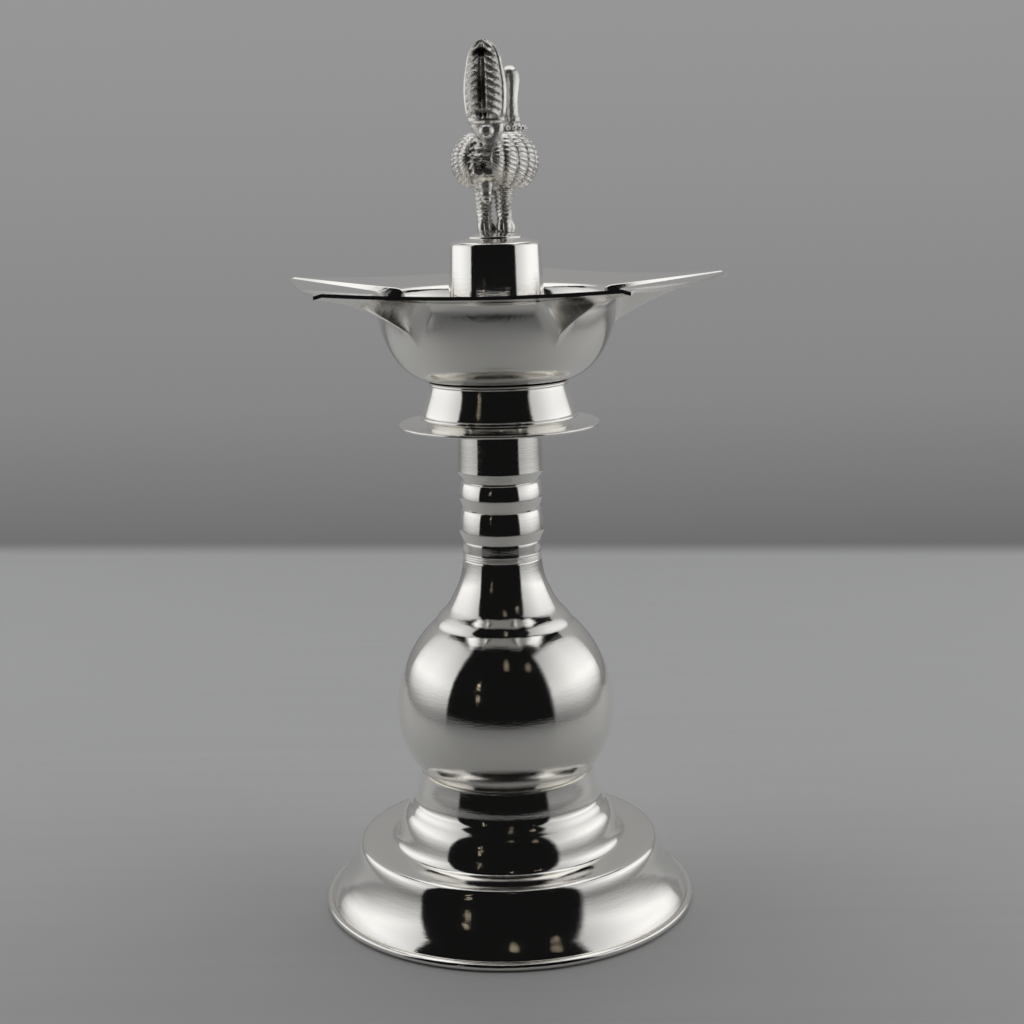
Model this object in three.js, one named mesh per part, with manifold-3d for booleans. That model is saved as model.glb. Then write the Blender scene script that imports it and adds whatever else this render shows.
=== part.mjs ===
// Five-wick standing oil lamp in polished silver plate, with a bird on its lid.
// Millimetres, +Z up. Each piece is drawn about the lamp's own axis, from the ground up. At the
// end the lamp is moved level, so that the middle of its box comes over the origin.
// The front of the lamp faces -Y. A bearing is measured from the front towards +X.
import * as THREE from 'three';
import { mergeVertices } from 'three/addons/utils/BufferGeometryUtils.js';
import Module from 'manifold-3d';

const wasm = await Module();
wasm.setup();

// Fits and mesh fineness
const SOLDER_GAP = 0.2; // between pieces that are soldered or screwed together
const CAST_GAP = 0.3; // between the cast pieces of the bird
const WIDE_SEGMENTS = 36; // facets round the foot, globe and bowl pieces
const SLIM_SEGMENTS = 24; // facets round the neck and the inner pieces

// Foot: a spun flared shell with a flat plateau and a wired rim
const FOOT_RADIUS = 45;
const FOOT_HEIGHT = 15.5;
const RIM_WIRE_WIDTH = 1.8;
const RIM_WIRE_HEIGHT = 1.8;
const PLATEAU_RADIUS = 36.2;
const PLATEAU_EDGE = 1.2;
const FLARE_TOP_LEAN = 18; // degrees from the upright, as the next one
const FLARE_FOOT_LEAN = 40;
const FOOT_SHEET = 1.1;
const FOOT_MOUTH_RADIUS = 20.5;

// Stepped collar: a coned wall under the globe, then two soft steps that spread to the plateau.
// Heights are measured from the plateau, and leans in degrees from the upright.
const COLLAR_RADIUS = 20.9; // at the top of the wall
const COLLAR_HEIGHT = 17.1;
const COLLAR_WALL = 1.3;
const CONE_FOOT_RADIUS = 22.1;
const CONE_FOOT_HEIGHT = 11.4;
const CONE_FOOT_LEAN = 10;
const STEP_RADIUS = 24.9; // where the upper step is flattest
const STEP_HEIGHT = 7;
const STEP_LEAN = 44;
const COLLAR_WAIST_RADIUS = 26.5; // between the steps
const COLLAR_WAIST_HEIGHT = 3.5;
const COLLAR_WAIST_LEAN = 18;
const COLLAR_FOOT_RADIUS = 28.3;
const COLLAR_FOOT_LEAN = 58;

// Bush in the foot and the threaded stud that the stem screws in with
const BUSH_PLATE_CLEARANCE = 0.6;
const BUSH_PLATE_THICKNESS = 1.5;
const BUSH_RADIUS = 8;
const BUSH_HEIGHT = 11;
const STEM_STUD_RADIUS = 4;
const STEM_STUD_LENGTH = 11;
const STUD_DISC_THICKNESS = 1.6;

// Globe: two half ellipses of one radius, open at the bottom and the top
const GLOBE_RADIUS = 26.1;
const GLOBE_LOWER_REACH = 24.3;
const GLOBE_UPPER_REACH = 27.5;
const GLOBE_SEAT_RADIUS = 20.3;
const GLOBE_MOUTH_RADIUS = 16.9;
const GLOBE_SHEET = 1.1;
const SPIGOT_LENGTH = 3.4;

// Neck: a bell-shaped flare, a grooved band, two rings and a sleeve on one core tube
const FLARE_HEIGHT = 15.4;
const FLARE_HIP_RADIUS = 14.85; // where the flare leans out furthest
const FLARE_HIP_HEIGHT = 2.7;
const FLARE_HIP_LEAN = 45;
const FLARE_SEAM_LEAN = 32;
const FLARE_WAIST_LEAN = 4;
const NECK_WAIST_RADIUS = 9.25;
const BAND_HEIGHT = 4.6;
const BAND_GROOVE = 0.22;
const LOWER_RING_HEIGHT = 7.9;
const LOWER_RING_RADIUS = 10.2;
const UPPER_RING_HEIGHT = 6.5;
const UPPER_RING_RADIUS = 9.8;
const SLEEVE_HEIGHT = 12.4;
const SLEEVE_RADIUS = 10.1;
const CORE_RADIUS = 7.4;
const CORE_WALL = 1.4;
const PLUG_DEPTH = 6;
const PLUG_LIP = 0.6;
const BOWL_STUD_RADIUS = 3;
const BOWL_STUD_LENGTH = 8.5;

// Drip pan and skirt under the bowl
const PAN_RADIUS = 23.6;
const PAN_SHEET = 0.8;
const PAN_RISE = 0.6;
const SKIRT_HEIGHT = 10.6;
const SKIRT_TOP_RADIUS = 16.2;
const SKIRT_BEAD_RADIUS = 18.7;
const SKIRT_BEAD_SIZE = 0.7;
const SKIRT_SHEET = 1.2;
const BOSS_RADIUS = 7;

// Bowl: a deep cup with a sloping five-pointed flange, a V channel in each point
const BOWL_DEPTH = 20.5;
const BOWL_FLOOR_RADIUS = 15;
const BOWL_RIM_RADIUS = 28.2;
const BOWL_SHEET = 0.8;
const BOWL_BEND = 3; // how far the rounded bend from cup to flange reaches along each
const SPOUT_COUNT = 5;
const SPOUT_BEARING = -42.4;
const SPOUT_TIP_RADIUS = 55.9;
const FLANGE_WAIST_RADIUS = 45.2; // to the middle of the flange's edge, between two tips
const FLANGE_RISE = 2.9;
const CHANNEL_ROOT_WIDTH = 12.5;
const CHANNEL_TIP_WIDTH = 3;
const CHANNEL_ROOT_DEPTH = 8;
const CHANNEL_TIP_DEPTH = 0.6;

// Lid: a tapered cap over a post, which stands in the bowl
const POST_SEAT_RADIUS = 12.4;
const POST_SEAT_HEIGHT = 1.4;
const POST_HEIGHT = 24;
const CAP_HEIGHT = 29.2;
const CAP_FOOT_RADIUS = 11.7;
const CAP_TOP_RADIUS = 10.6;
const CAP_SHOULDER_WIDTH = 4;
const CAP_SHOULDER_HEIGHT = 1.4;
const CAP_WALL = 0.9;
const LID_SCREW_RADIUS = 1.6;
const LID_SCREW_HEAD_RADIUS = 3.2;
const LID_SCREW_HEAD_HEIGHT = 1.5;

// Perch and bird: heights of the bird's parts are measured from the top of the perch
const PERCH_RADIUS = 5.9;
const PERCH_HEIGHT = 2.3;
const BIRD_TURN = -16; // degrees, from facing straight back towards +X
const BODY_CENTRE_HEIGHT = 16;
const BODY_HALF_WIDTH = 8.4;
const BODY_HALF_LENGTH = 11.6;
const BODY_HALF_HEIGHT = 6.9;
const BODY_CHEST_SWELL = 0.12;
const WING_THICKNESS = 1.5;
const WING_FRONT = 7.5;
const WING_BACK = -9.5;
const LEG_SPREAD = 2.5;
const TAIL_BACK = 8.2;
const TAIL_HALF_WIDTH = 4.9;
const TAIL_HALF_DEPTH = 2.3;
const TAIL_LEAN = 1.2;
const TAIL_TOP_HEIGHT = 42.8;
const TAIL_BOSS_RADIUS = 1.6;
const TAIL_BOSS_HEIGHT = 22.4;
const NECK_FORWARD = 9.6;
const NECK_RADIUS = 2;
const NECK_ROOT_RADIUS = 2.8;
const HEAD_TOP_HEIGHT = 37.6;
const HEAD_HEIGHT = 6;
const HEAD_RADIUS = 2.5;
const BEAK_LENGTH = 4.4;
const BEAK_RADIUS = 1.1;
const NECKLACE_HEIGHT = 23.4;
const NECKLACE_BEAD = 0.65;

// Heights of the seats, from the ground up
const collarTop = FOOT_HEIGHT + COLLAR_HEIGHT;
const globeCentre = collarTop + ellipseRise(GLOBE_LOWER_REACH, GLOBE_SEAT_RADIUS, GLOBE_RADIUS);
const globeTop = globeCentre + ellipseRise(GLOBE_UPPER_REACH, GLOBE_MOUTH_RADIUS, GLOBE_RADIUS);
const flareTop = globeTop + FLARE_HEIGHT;
const bandTop = flareTop + BAND_HEIGHT;
const lowerRingTop = bandTop + LOWER_RING_HEIGHT;
const upperRingTop = lowerRingTop + UPPER_RING_HEIGHT;
const sleeveTop = upperRingTop + SLEEVE_HEIGHT;
const skirtBottom = sleeveTop + PAN_SHEET;
const bowlBottom = skirtBottom + SKIRT_HEIGHT;
const bowlRim = bowlBottom + BOWL_DEPTH;
const bowlFloor = bowlBottom + BOWL_SHEET;
const capFoot = bowlFloor + POST_SEAT_HEIGHT;
const capTop = capFoot + CAP_HEIGHT;
const perchTop = capTop + PERCH_HEIGHT;

// Finishes
const SILVER = { color: 0xe9e7e2, roughness: 0.08, metalness: 1 };
const CAST_SILVER = { color: 0xe6e3dc, roughness: 0.16, metalness: 1 };
const INNER_BRASS = { color: 0xb5914f, roughness: 0.4, metalness: 1 };

// Height above an ellipse's centre at which the ellipse has the given radius
function ellipseRise(reach, radius, fullRadius) {
  return reach * Math.sqrt(1 - (radius / fullRadius) ** 2);
}

// Points on an ellipse about (radius, height), from one angle to another, in degrees
function arc(radius, height, halfWidth, halfHeight, from, to, steps) {
  const points = [];
  for (let i = 0; i <= steps; i += 1) {
    const angle = THREE.MathUtils.degToRad(from + ((to - from) * i) / steps);
    points.push([radius + halfWidth * Math.cos(angle), height + halfHeight * Math.sin(angle)]);
  }
  return points;
}

// Points on a cubic curve that leaves a towards b and comes to d from c
function bend(a, b, c, d, steps) {
  const [p, q, r, s] = [a, b, c, d].map(([x, y]) => new THREE.Vector2(x, y));
  return new THREE.CubicBezierCurve(p, q, r, s).getPoints(steps).map((v) => [v.x, v.y]);
}

// A curve down and outwards from a to b, which leans from the upright by so many degrees at each
function slope(a, leanA, b, leanB, steps) {
  const reach = Math.hypot(b[0] - a[0], b[1] - a[1]) / 3;
  const [turnA, turnB] = [leanA, leanB].map(THREE.MathUtils.degToRad);
  const afterA = [a[0] + reach * Math.sin(turnA), a[1] - reach * Math.cos(turnA)];
  const beforeB = [b[0] - reach * Math.sin(turnB), b[1] + reach * Math.cos(turnB)];
  return bend(a, afterA, beforeB, b, steps);
}

// One closed mesh of shared vertices, without empty triangles, with its faces outwards
function closed(geometry) {
  const bare = geometry.clone();
  bare.deleteAttribute('normal');
  bare.deleteAttribute('uv');
  const merged = mergeVertices(bare, 1e-4);
  const kept = [];
  const index = merged.index.array;
  for (let i = 0; i < index.length; i += 3) {
    const [a, b, c] = [index[i], index[i + 1], index[i + 2]];
    if (a !== b && b !== c && c !== a) kept.push(a, b, c);
  }
  if (volume(merged.attributes.position, kept) < 0) kept.reverse();
  merged.setIndex(kept);
  return merged;
}

function volume(position, index) {
  const [a, b, c] = [new THREE.Vector3(), new THREE.Vector3(), new THREE.Vector3()];
  let sum = 0;
  for (let i = 0; i < index.length; i += 3) {
    a.fromBufferAttribute(position, index[i]);
    b.fromBufferAttribute(position, index[i + 1]);
    c.fromBufferAttribute(position, index[i + 2]);
    sum += a.dot(b.cross(c)) / 6;
  }
  return sum;
}

// A ring or cup: a closed outline of [radius, height] points, turned about Z
function turned(outline, segments) {
  const points = outline.map(([radius, height]) => new THREE.Vector2(radius, height));
  if (outline[0][0] > 0) points.push(points[0].clone());
  return closed(new THREE.LatheGeometry(points, segments).rotateX(Math.PI / 2));
}

// A closed skin over a grid of points: rows follow each other, each row is a closed loop
function skin(rows, capped) {
  const columns = rows[0].length;
  const positions = rows.flat().flatMap((point) => point.toArray());
  const index = [];
  const rowSteps = capped ? rows.length - 1 : rows.length;
  for (let row = 0; row < rowSteps; row += 1) {
    const next = (row + 1) % rows.length;
    for (let column = 0; column < columns; column += 1) {
      const side = (column + 1) % columns;
      const [a, b] = [row * columns + column, row * columns + side];
      const [c, d] = [next * columns + side, next * columns + column];
      index.push(a, b, c, a, c, d);
    }
  }
  if (capped) {
    [0, rows.length - 1].forEach((row) => {
      const middle = rows[row].reduce((sum, point) => sum.add(point), new THREE.Vector3());
      const centre = positions.length / 3;
      positions.push(...middle.divideScalar(columns).toArray());
      for (let column = 0; column < columns; column += 1) {
        const [a, b] = [row * columns + column, row * columns + ((column + 1) % columns)];
        index.push(...(row === 0 ? [centre, b, a] : [centre, a, b]));
      }
    });
  }
  const geometry = new THREE.BufferGeometry();
  geometry.setAttribute('position', new THREE.Float32BufferAttribute(positions, 3));
  geometry.setIndex(index);
  return closed(geometry);
}

// An upright limb: level ellipses at stations of [forward, height, halfWidth, halfDepth]
function limb(stations, sides) {
  const rows = stations.map(([forward, height, halfWidth, halfDepth]) => {
    const row = [];
    for (let i = 0; i < sides; i += 1) {
      const angle = (2 * Math.PI * i) / sides;
      const x = halfWidth * Math.cos(angle);
      row.push(new THREE.Vector3(x, forward + halfDepth * Math.sin(angle), height));
    }
    return row;
  });
  return skin(rows, true);
}

function toManifold(geometry) {
  const vertProperties = new Float32Array(geometry.attributes.position.array);
  const triVerts = new Uint32Array(geometry.index.array);
  return new wasm.Manifold(new wasm.Mesh({ numProp: 3, vertProperties, triVerts }));
}

// What is left of one solid when another is taken from it
function cut(geometry, cutter) {
  const mesh = toManifold(geometry).subtract(toManifold(cutter)).getMesh();
  const result = new THREE.BufferGeometry();
  result.setAttribute('position', new THREE.Float32BufferAttribute(mesh.vertProperties, 3));
  result.setIndex([...mesh.triVerts]);
  return closed(result);
}

function piece(name, geometry, finish) {
  const mesh = new THREE.Mesh(geometry, new THREE.MeshStandardMaterial(finish));
  mesh.name = name;
  return mesh;
}

// Foot

function footRimWire() {
  const inner = FOOT_RADIUS - RIM_WIRE_WIDTH;
  const corner = 0.35 * RIM_WIRE_HEIGHT;
  const outline = [
    [inner, 0],
    [FOOT_RADIUS - corner, 0],
    ...arc(FOOT_RADIUS - corner, RIM_WIRE_HEIGHT / 2, corner, RIM_WIRE_HEIGHT / 2, -45, 90, 3),
    [inner, RIM_WIRE_HEIGHT],
  ];
  return turned(outline, WIDE_SEGMENTS);
}

function footShell() {
  const hem = FOOT_RADIUS - RIM_WIRE_WIDTH - SOLDER_GAP;
  const edgeMiddle = PLATEAU_RADIUS - PLATEAU_EDGE;
  const edge = arc(edgeMiddle, FOOT_HEIGHT - PLATEAU_EDGE, PLATEAU_EDGE, PLATEAU_EDGE, FLARE_TOP_LEAN, 90, 3);
  const [flareRadius, flareHeight] = edge[0];
  const flare = (sheet, steps) => slope(
    [flareRadius - sheet, flareHeight - sheet],
    FLARE_TOP_LEAN,
    [hem - sheet, RIM_WIRE_HEIGHT + 0.1 - sheet],
    FLARE_FOOT_LEAN,
    steps,
  );
  const outline = [
    [hem - FOOT_SHEET, 0.3],
    [hem, 0.3],
    ...flare(0, 7).reverse(),
    ...edge.slice(1),
    [FOOT_MOUTH_RADIUS, FOOT_HEIGHT],
    [FOOT_MOUTH_RADIUS, FOOT_HEIGHT - FOOT_SHEET],
    [edgeMiddle - 0.5 * FOOT_SHEET, FOOT_HEIGHT - FOOT_SHEET],
    ...flare(FOOT_SHEET, 4),
  ];
  return turned(outline, WIDE_SEGMENTS);
}

function steppedCollar() {
  const face = (sheet, steps) => {
    const coneFoot = [CONE_FOOT_RADIUS - sheet, FOOT_HEIGHT + CONE_FOOT_HEIGHT];
    const step = [STEP_RADIUS - sheet, FOOT_HEIGHT + STEP_HEIGHT];
    const waist = [COLLAR_WAIST_RADIUS - sheet, FOOT_HEIGHT + COLLAR_WAIST_HEIGHT];
    const end = [COLLAR_FOOT_RADIUS - sheet, FOOT_HEIGHT];
    return [
      [COLLAR_RADIUS - sheet, collarTop],
      ...slope(coneFoot, CONE_FOOT_LEAN, step, STEP_LEAN, steps),
      ...slope(step, STEP_LEAN, waist, COLLAR_WAIST_LEAN, steps).slice(1),
      ...slope(waist, COLLAR_WAIST_LEAN, end, COLLAR_FOOT_LEAN, steps).slice(1),
    ];
  };
  return turned([...face(0, 3), ...face(COLLAR_WALL, 2).reverse()], WIDE_SEGMENTS);
}

function footBush() {
  const hole = STEM_STUD_RADIUS + CAST_GAP;
  const plateTop = FOOT_HEIGHT + BUSH_PLATE_THICKNESS;
  const plateRadius = COLLAR_WAIST_RADIUS - COLLAR_WALL - BUSH_PLATE_CLEARANCE;
  const outline = [
    [hole, FOOT_HEIGHT],
    [plateRadius, FOOT_HEIGHT],
    [plateRadius, plateTop],
    [BUSH_RADIUS, plateTop],
    [BUSH_RADIUS, FOOT_HEIGHT + BUSH_HEIGHT],
    [hole, FOOT_HEIGHT + BUSH_HEIGHT],
  ];
  return turned(outline, SLIM_SEGMENTS);
}

// Stem

function stemStud() {
  const discRadius = COLLAR_RADIUS - COLLAR_WALL - SOLDER_GAP - GLOBE_SHEET - SOLDER_GAP;
  const discTop = collarTop - 0.5;
  const discBottom = discTop - STUD_DISC_THICKNESS;
  const outline = [
    [0, discBottom - STEM_STUD_LENGTH],
    [STEM_STUD_RADIUS, discBottom - STEM_STUD_LENGTH],
    [STEM_STUD_RADIUS, discBottom],
    [discRadius, discBottom],
    [discRadius, discTop],
    [0, discTop],
  ];
  return turned(outline, SLIM_SEGMENTS);
}

function globe() {
  const spigot = COLLAR_RADIUS - COLLAR_WALL - SOLDER_GAP;
  const inside = GLOBE_RADIUS - GLOBE_SHEET;
  const seatAngle = THREE.MathUtils.radToDeg(Math.acos(GLOBE_SEAT_RADIUS / GLOBE_RADIUS));
  const mouthAngle = THREE.MathUtils.radToDeg(Math.acos(GLOBE_MOUTH_RADIUS / GLOBE_RADIUS));
  const outline = [
    ...arc(0, globeCentre, GLOBE_RADIUS, GLOBE_LOWER_REACH, -seatAngle, 0, 5),
    ...arc(0, globeCentre, GLOBE_RADIUS, GLOBE_UPPER_REACH, 0, mouthAngle, 7).slice(1),
    [GLOBE_MOUTH_RADIUS - GLOBE_SHEET, globeTop],
    ...arc(0, globeCentre, inside, GLOBE_UPPER_REACH - GLOBE_SHEET, mouthAngle - 2, 0, 3),
    ...arc(0, globeCentre, inside, GLOBE_LOWER_REACH - GLOBE_SHEET, -15, -seatAngle, 2),
    [spigot - GLOBE_SHEET, collarTop],
    [spigot - GLOBE_SHEET, collarTop - SPIGOT_LENGTH],
    [spigot, collarTop - SPIGOT_LENGTH],
    [spigot, collarTop],
  ];
  return turned(outline, WIDE_SEGMENTS);
}

function neckFlare() {
  const bore = CORE_RADIUS + SOLDER_GAP;
  const waist = [NECK_WAIST_RADIUS + 0.1, flareTop];
  const hip = [FLARE_HIP_RADIUS, globeTop + FLARE_HIP_HEIGHT];
  const seam = [GLOBE_MOUTH_RADIUS, globeTop];
  const outline = [
    ...slope(waist, FLARE_WAIST_LEAN, hip, FLARE_HIP_LEAN, 6),
    ...slope(hip, FLARE_HIP_LEAN, seam, FLARE_SEAM_LEAN, 3).slice(1),
    [GLOBE_MOUTH_RADIUS - 3.2, globeTop],
    [bore, globeTop + 0.5 * FLARE_HEIGHT],
    [bore, flareTop],
  ];
  return turned(outline, WIDE_SEGMENTS);
}

// A neck ring from bottom to top: outline points between a common bore and both seats
function neckRing(bottom, top, outside) {
  const bore = CORE_RADIUS + SOLDER_GAP;
  return turned([[bore, bottom], ...outside, [bore, top]], SLIM_SEGMENTS);
}

function neckBand() {
  const line = (height) => [
    [NECK_WAIST_RADIUS, height - 0.3],
    [NECK_WAIST_RADIUS - BAND_GROOVE, height],
    [NECK_WAIST_RADIUS, height + 0.3],
  ];
  return neckRing(flareTop, bandTop, [
    [NECK_WAIST_RADIUS, flareTop],
    ...line(flareTop + 0.3 * BAND_HEIGHT),
    ...line(flareTop + 0.55 * BAND_HEIGHT),
    [NECK_WAIST_RADIUS - 0.1, bandTop],
  ]);
}

function neckRingLower() {
  const lip = bandTop + 0.29 * LOWER_RING_HEIGHT;
  return neckRing(bandTop, lowerRingTop, [
    [NECK_WAIST_RADIUS - 0.1, bandTop],
    [LOWER_RING_RADIUS - 0.15, lip - 0.3],
    [LOWER_RING_RADIUS, lip],
    [LOWER_RING_RADIUS - 0.1, lip + 0.5],
    [NECK_WAIST_RADIUS - 0.2, lowerRingTop],
  ]);
}

function neckRingUpper() {
  const lip = lowerRingTop + 0.38 * UPPER_RING_HEIGHT;
  return neckRing(lowerRingTop, upperRingTop, [
    [NECK_WAIST_RADIUS - 0.2, lowerRingTop],
    [UPPER_RING_RADIUS - 0.15, lip - 0.3],
    [UPPER_RING_RADIUS, lip],
    [UPPER_RING_RADIUS - 0.25, lip + 1.6],
    [NECK_WAIST_RADIUS - 0.3, upperRingTop],
  ]);
}

function neckSleeve() {
  const lip = upperRingTop + 0.19 * SLEEVE_HEIGHT;
  return neckRing(upperRingTop, sleeveTop, [
    [NECK_WAIST_RADIUS - 0.3, upperRingTop],
    [SLEEVE_RADIUS + 0.05, lip - 0.3],
    [SLEEVE_RADIUS + 0.2, lip],
    [SLEEVE_RADIUS - 0.1, lip + 1.2],
    [SLEEVE_RADIUS, sleeveTop],
  ]);
}

function neckCore() {
  const top = sleeveTop - PLUG_LIP;
  const bottom = globeTop + 0.3 * FLARE_HEIGHT;
  const bore = CORE_RADIUS - CORE_WALL;
  return turned([[bore, bottom], [CORE_RADIUS, bottom], [CORE_RADIUS, top], [bore, top]], SLIM_SEGMENTS);
}

function neckPlug() {
  const radius = CORE_RADIUS - CORE_WALL - SOLDER_GAP;
  const lipBottom = sleeveTop - PLUG_LIP;
  const outline = [
    [0, lipBottom - PLUG_DEPTH],
    [radius, lipBottom - PLUG_DEPTH],
    [radius, lipBottom],
    [CORE_RADIUS, lipBottom],
    [CORE_RADIUS, sleeveTop],
    [BOWL_STUD_RADIUS, sleeveTop],
    [BOWL_STUD_RADIUS, sleeveTop + BOWL_STUD_LENGTH],
    [0, sleeveTop + BOWL_STUD_LENGTH],
  ];
  return turned(outline, SLIM_SEGMENTS);
}

// Bowl and what hangs under it

function dripPan() {
  const hole = BOSS_RADIUS + SOLDER_GAP;
  const flat = SKIRT_TOP_RADIUS - SKIRT_SHEET;
  const edge = PAN_RADIUS - 0.4;
  const outline = [
    [hole, sleeveTop],
    [flat, sleeveTop],
    [edge, sleeveTop + PAN_RISE],
    [PAN_RADIUS, skirtBottom],
    [edge, skirtBottom + PAN_RISE],
    [SKIRT_BEAD_RADIUS, skirtBottom],
    [hole, skirtBottom],
  ];
  return turned(outline, WIDE_SEGMENTS);
}

function skirt() {
  const beadHeight = skirtBottom + 0.2 * SKIRT_HEIGHT;
  const beadMiddle = SKIRT_BEAD_RADIUS - SKIRT_BEAD_SIZE;
  const stepRadius = SKIRT_BEAD_RADIUS - 1.8;
  const outline = [
    [stepRadius, skirtBottom],
    [stepRadius, beadHeight - 0.9],
    ...arc(beadMiddle, beadHeight, SKIRT_BEAD_SIZE, SKIRT_BEAD_SIZE, -80, 50, 3),
    ...bend(
      [SKIRT_BEAD_RADIUS - 0.4, beadHeight + 0.8],
      [SKIRT_BEAD_RADIUS - 1.3, beadHeight + 0.3 * SKIRT_HEIGHT],
      [SKIRT_TOP_RADIUS + 0.2, beadHeight + 0.5 * SKIRT_HEIGHT],
      [SKIRT_TOP_RADIUS, bowlBottom],
      4,
    ),
    [SKIRT_TOP_RADIUS - SKIRT_SHEET, bowlBottom],
    [SKIRT_TOP_RADIUS - SKIRT_SHEET, beadHeight],
    [stepRadius - SKIRT_SHEET, skirtBottom],
  ];
  return turned(outline, WIDE_SEGMENTS);
}

function bowlBoss() {
  const hole = BOWL_STUD_RADIUS + CAST_GAP;
  const bottom = sleeveTop + SOLDER_GAP;
  const outline = [[hole, bottom], [BOSS_RADIUS, bottom], [BOSS_RADIUS, bowlBottom], [hole, bowlBottom]];
  return turned(outline, SLIM_SEGMENTS);
}

// The cup's wall at a height: the radius of its quarter ellipse, on either side of the sheet
function cupRadius(height, sheet) {
  const reach = BOWL_RIM_RADIUS - BOWL_FLOOR_RADIUS - sheet;
  const drop = Math.min((bowlRim - height) / (BOWL_DEPTH - sheet), 1);
  return BOWL_FLOOR_RADIUS + reach * Math.sqrt(1 - drop * drop);
}

// Distance from the axis to the flange's edge, at an angle from the nearest spout
function flangeEdge(angle) {
  const half = Math.PI / SPOUT_COUNT;
  const power = Math.log(SPOUT_TIP_RADIUS / FLANGE_WAIST_RADIUS) / -Math.log(Math.cos(half));
  return FLANGE_WAIST_RADIUS * Math.cos(half - Math.abs(angle)) ** -power;
}

function flangeHeight(radius) {
  return bowlRim + (FLANGE_RISE * (radius - BOWL_RIM_RADIUS)) / (SPOUT_TIP_RADIUS - BOWL_RIM_RADIUS);
}

// A point of the flange or of a channel's wall. across runs from 0 on a spout's keel, through
// 1 at the channel's crease, to 2 halfway to the next spout; out runs from the cup to the edge.
function flangePoint(across, side, out, sheet) {
  const { lerp } = THREE.MathUtils;
  const half = Math.PI / SPOUT_COUNT;
  const width = lerp(CHANNEL_ROOT_WIDTH, CHANNEL_TIP_WIDTH, out) / 2;
  const reach = lerp(BOWL_RIM_RADIUS, SPOUT_TIP_RADIUS, out);
  const crease = Math.asin(width / reach);
  const depth = (1 - Math.min(across, 1)) * lerp(CHANNEL_ROOT_DEPTH, CHANNEL_TIP_DEPTH, 1 - (1 - out) ** 2);
  const angle = across < 1 ? Math.atan((across * width) / reach) : lerp(crease, half, across - 1);
  const rootHeight = bowlRim - (1 - Math.min(across, 1)) * CHANNEL_ROOT_DEPTH;
  const inner = cupRadius(rootHeight - (BOWL_SHEET - sheet), sheet);
  const radius = lerp(inner, flangeEdge(angle), out);
  return { angle: side * angle, radius, height: flangeHeight(radius) - depth - (BOWL_SHEET - sheet) };
}

// One face of the sheet, from the hole in the floor up the cup, round the bend and out
function bowlFace(across, side, sheet) {
  const cupSteps = 5;
  const outSteps = [0.3, 0.52, 0.76, 1];
  const bendOut = BOWL_BEND / (SPOUT_TIP_RADIUS - BOWL_RIM_RADIUS);
  const corner = flangePoint(across, side, 0, sheet);
  const after = flangePoint(across, side, bendOut, sheet);
  const floor = bowlBottom + sheet;
  const cupTop = corner.height - BOWL_BEND;
  const points = [[corner.angle, BOWL_STUD_RADIUS + CAST_GAP, floor]];
  for (let i = 0; i <= cupSteps; i += 1) {
    const height = floor + (cupTop - floor) * (i / cupSteps) ** 1.7;
    points.push([corner.angle, cupRadius(height, sheet), height]);
  }
  const start = { angle: corner.angle, radius: cupRadius(cupTop, sheet), height: cupTop };
  const blend = (key, t) => (1 - t) ** 2 * start[key] + 2 * t * (1 - t) * corner[key] + t * t * after[key];
  [0.5, 1].forEach((t) => points.push([blend('angle', t), blend('radius', t), blend('height', t)]));
  outSteps.forEach((out) => {
    const { angle, radius, height } = flangePoint(across, side, out, sheet);
    points.push([angle, radius, height]);
  });
  return points;
}

function bowlSection(bearing, across, side) {
  const loop = [...bowlFace(across, side, BOWL_SHEET), ...bowlFace(across, side, 0).reverse()];
  return loop.map(([angle, radius, height]) => {
    const turn = bearing + angle;
    return new THREE.Vector3(radius * Math.sin(turn), -radius * Math.cos(turn), height);
  });
}

function bowl() {
  const steps = [0, 0.5, 1, 1.35, 1.7, 2];
  const rows = [];
  for (let spout = 0; spout < SPOUT_COUNT; spout += 1) {
    const bearing = THREE.MathUtils.degToRad(SPOUT_BEARING) + (2 * Math.PI * spout) / SPOUT_COUNT;
    [...steps].reverse().slice(1).forEach((across) => rows.push(bowlSection(bearing, across, -1)));
    steps.slice(1).forEach((across) => rows.push(bowlSection(bearing, across, 1)));
  }
  return skin(rows, false);
}

// Lid

// Radius of the cap's outside at a height, which the post's taper follows
function capRadius(height) {
  const share = (height - capFoot) / (CAP_HEIGHT - CAP_SHOULDER_HEIGHT);
  return THREE.MathUtils.lerp(CAP_FOOT_RADIUS, CAP_TOP_RADIUS, share);
}

function lidPost() {
  const spigot = BOWL_STUD_RADIUS + CAST_GAP - SOLDER_GAP;
  const clearance = CAP_WALL + CAST_GAP;
  const postTop = capFoot + POST_HEIGHT;
  const outline = [
    [0, bowlBottom - 1],
    [spigot, bowlBottom - 1],
    [spigot, bowlFloor],
    [POST_SEAT_RADIUS, bowlFloor],
    [POST_SEAT_RADIUS, capFoot],
    [capRadius(capFoot) - clearance, capFoot],
    [capRadius(postTop) - clearance, postTop],
    [0, postTop],
  ];
  return turned(outline, SLIM_SEGMENTS);
}

function lidCap() {
  const shoulder = capTop - CAP_SHOULDER_HEIGHT;
  const flat = CAP_TOP_RADIUS - CAP_SHOULDER_WIDTH;
  const hole = LID_SCREW_RADIUS + SOLDER_GAP;
  const ceiling = capTop - CAP_WALL;
  const outline = [
    [CAP_FOOT_RADIUS - CAP_WALL, capFoot],
    [CAP_FOOT_RADIUS, capFoot],
    ...arc(flat, shoulder, CAP_SHOULDER_WIDTH, CAP_SHOULDER_HEIGHT, 0, 90, 5),
    [hole, capTop],
    [hole, ceiling],
    [flat, ceiling],
    [CAP_TOP_RADIUS - CAP_WALL, shoulder - CAP_WALL],
  ];
  return turned(outline, WIDE_SEGMENTS);
}

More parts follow.
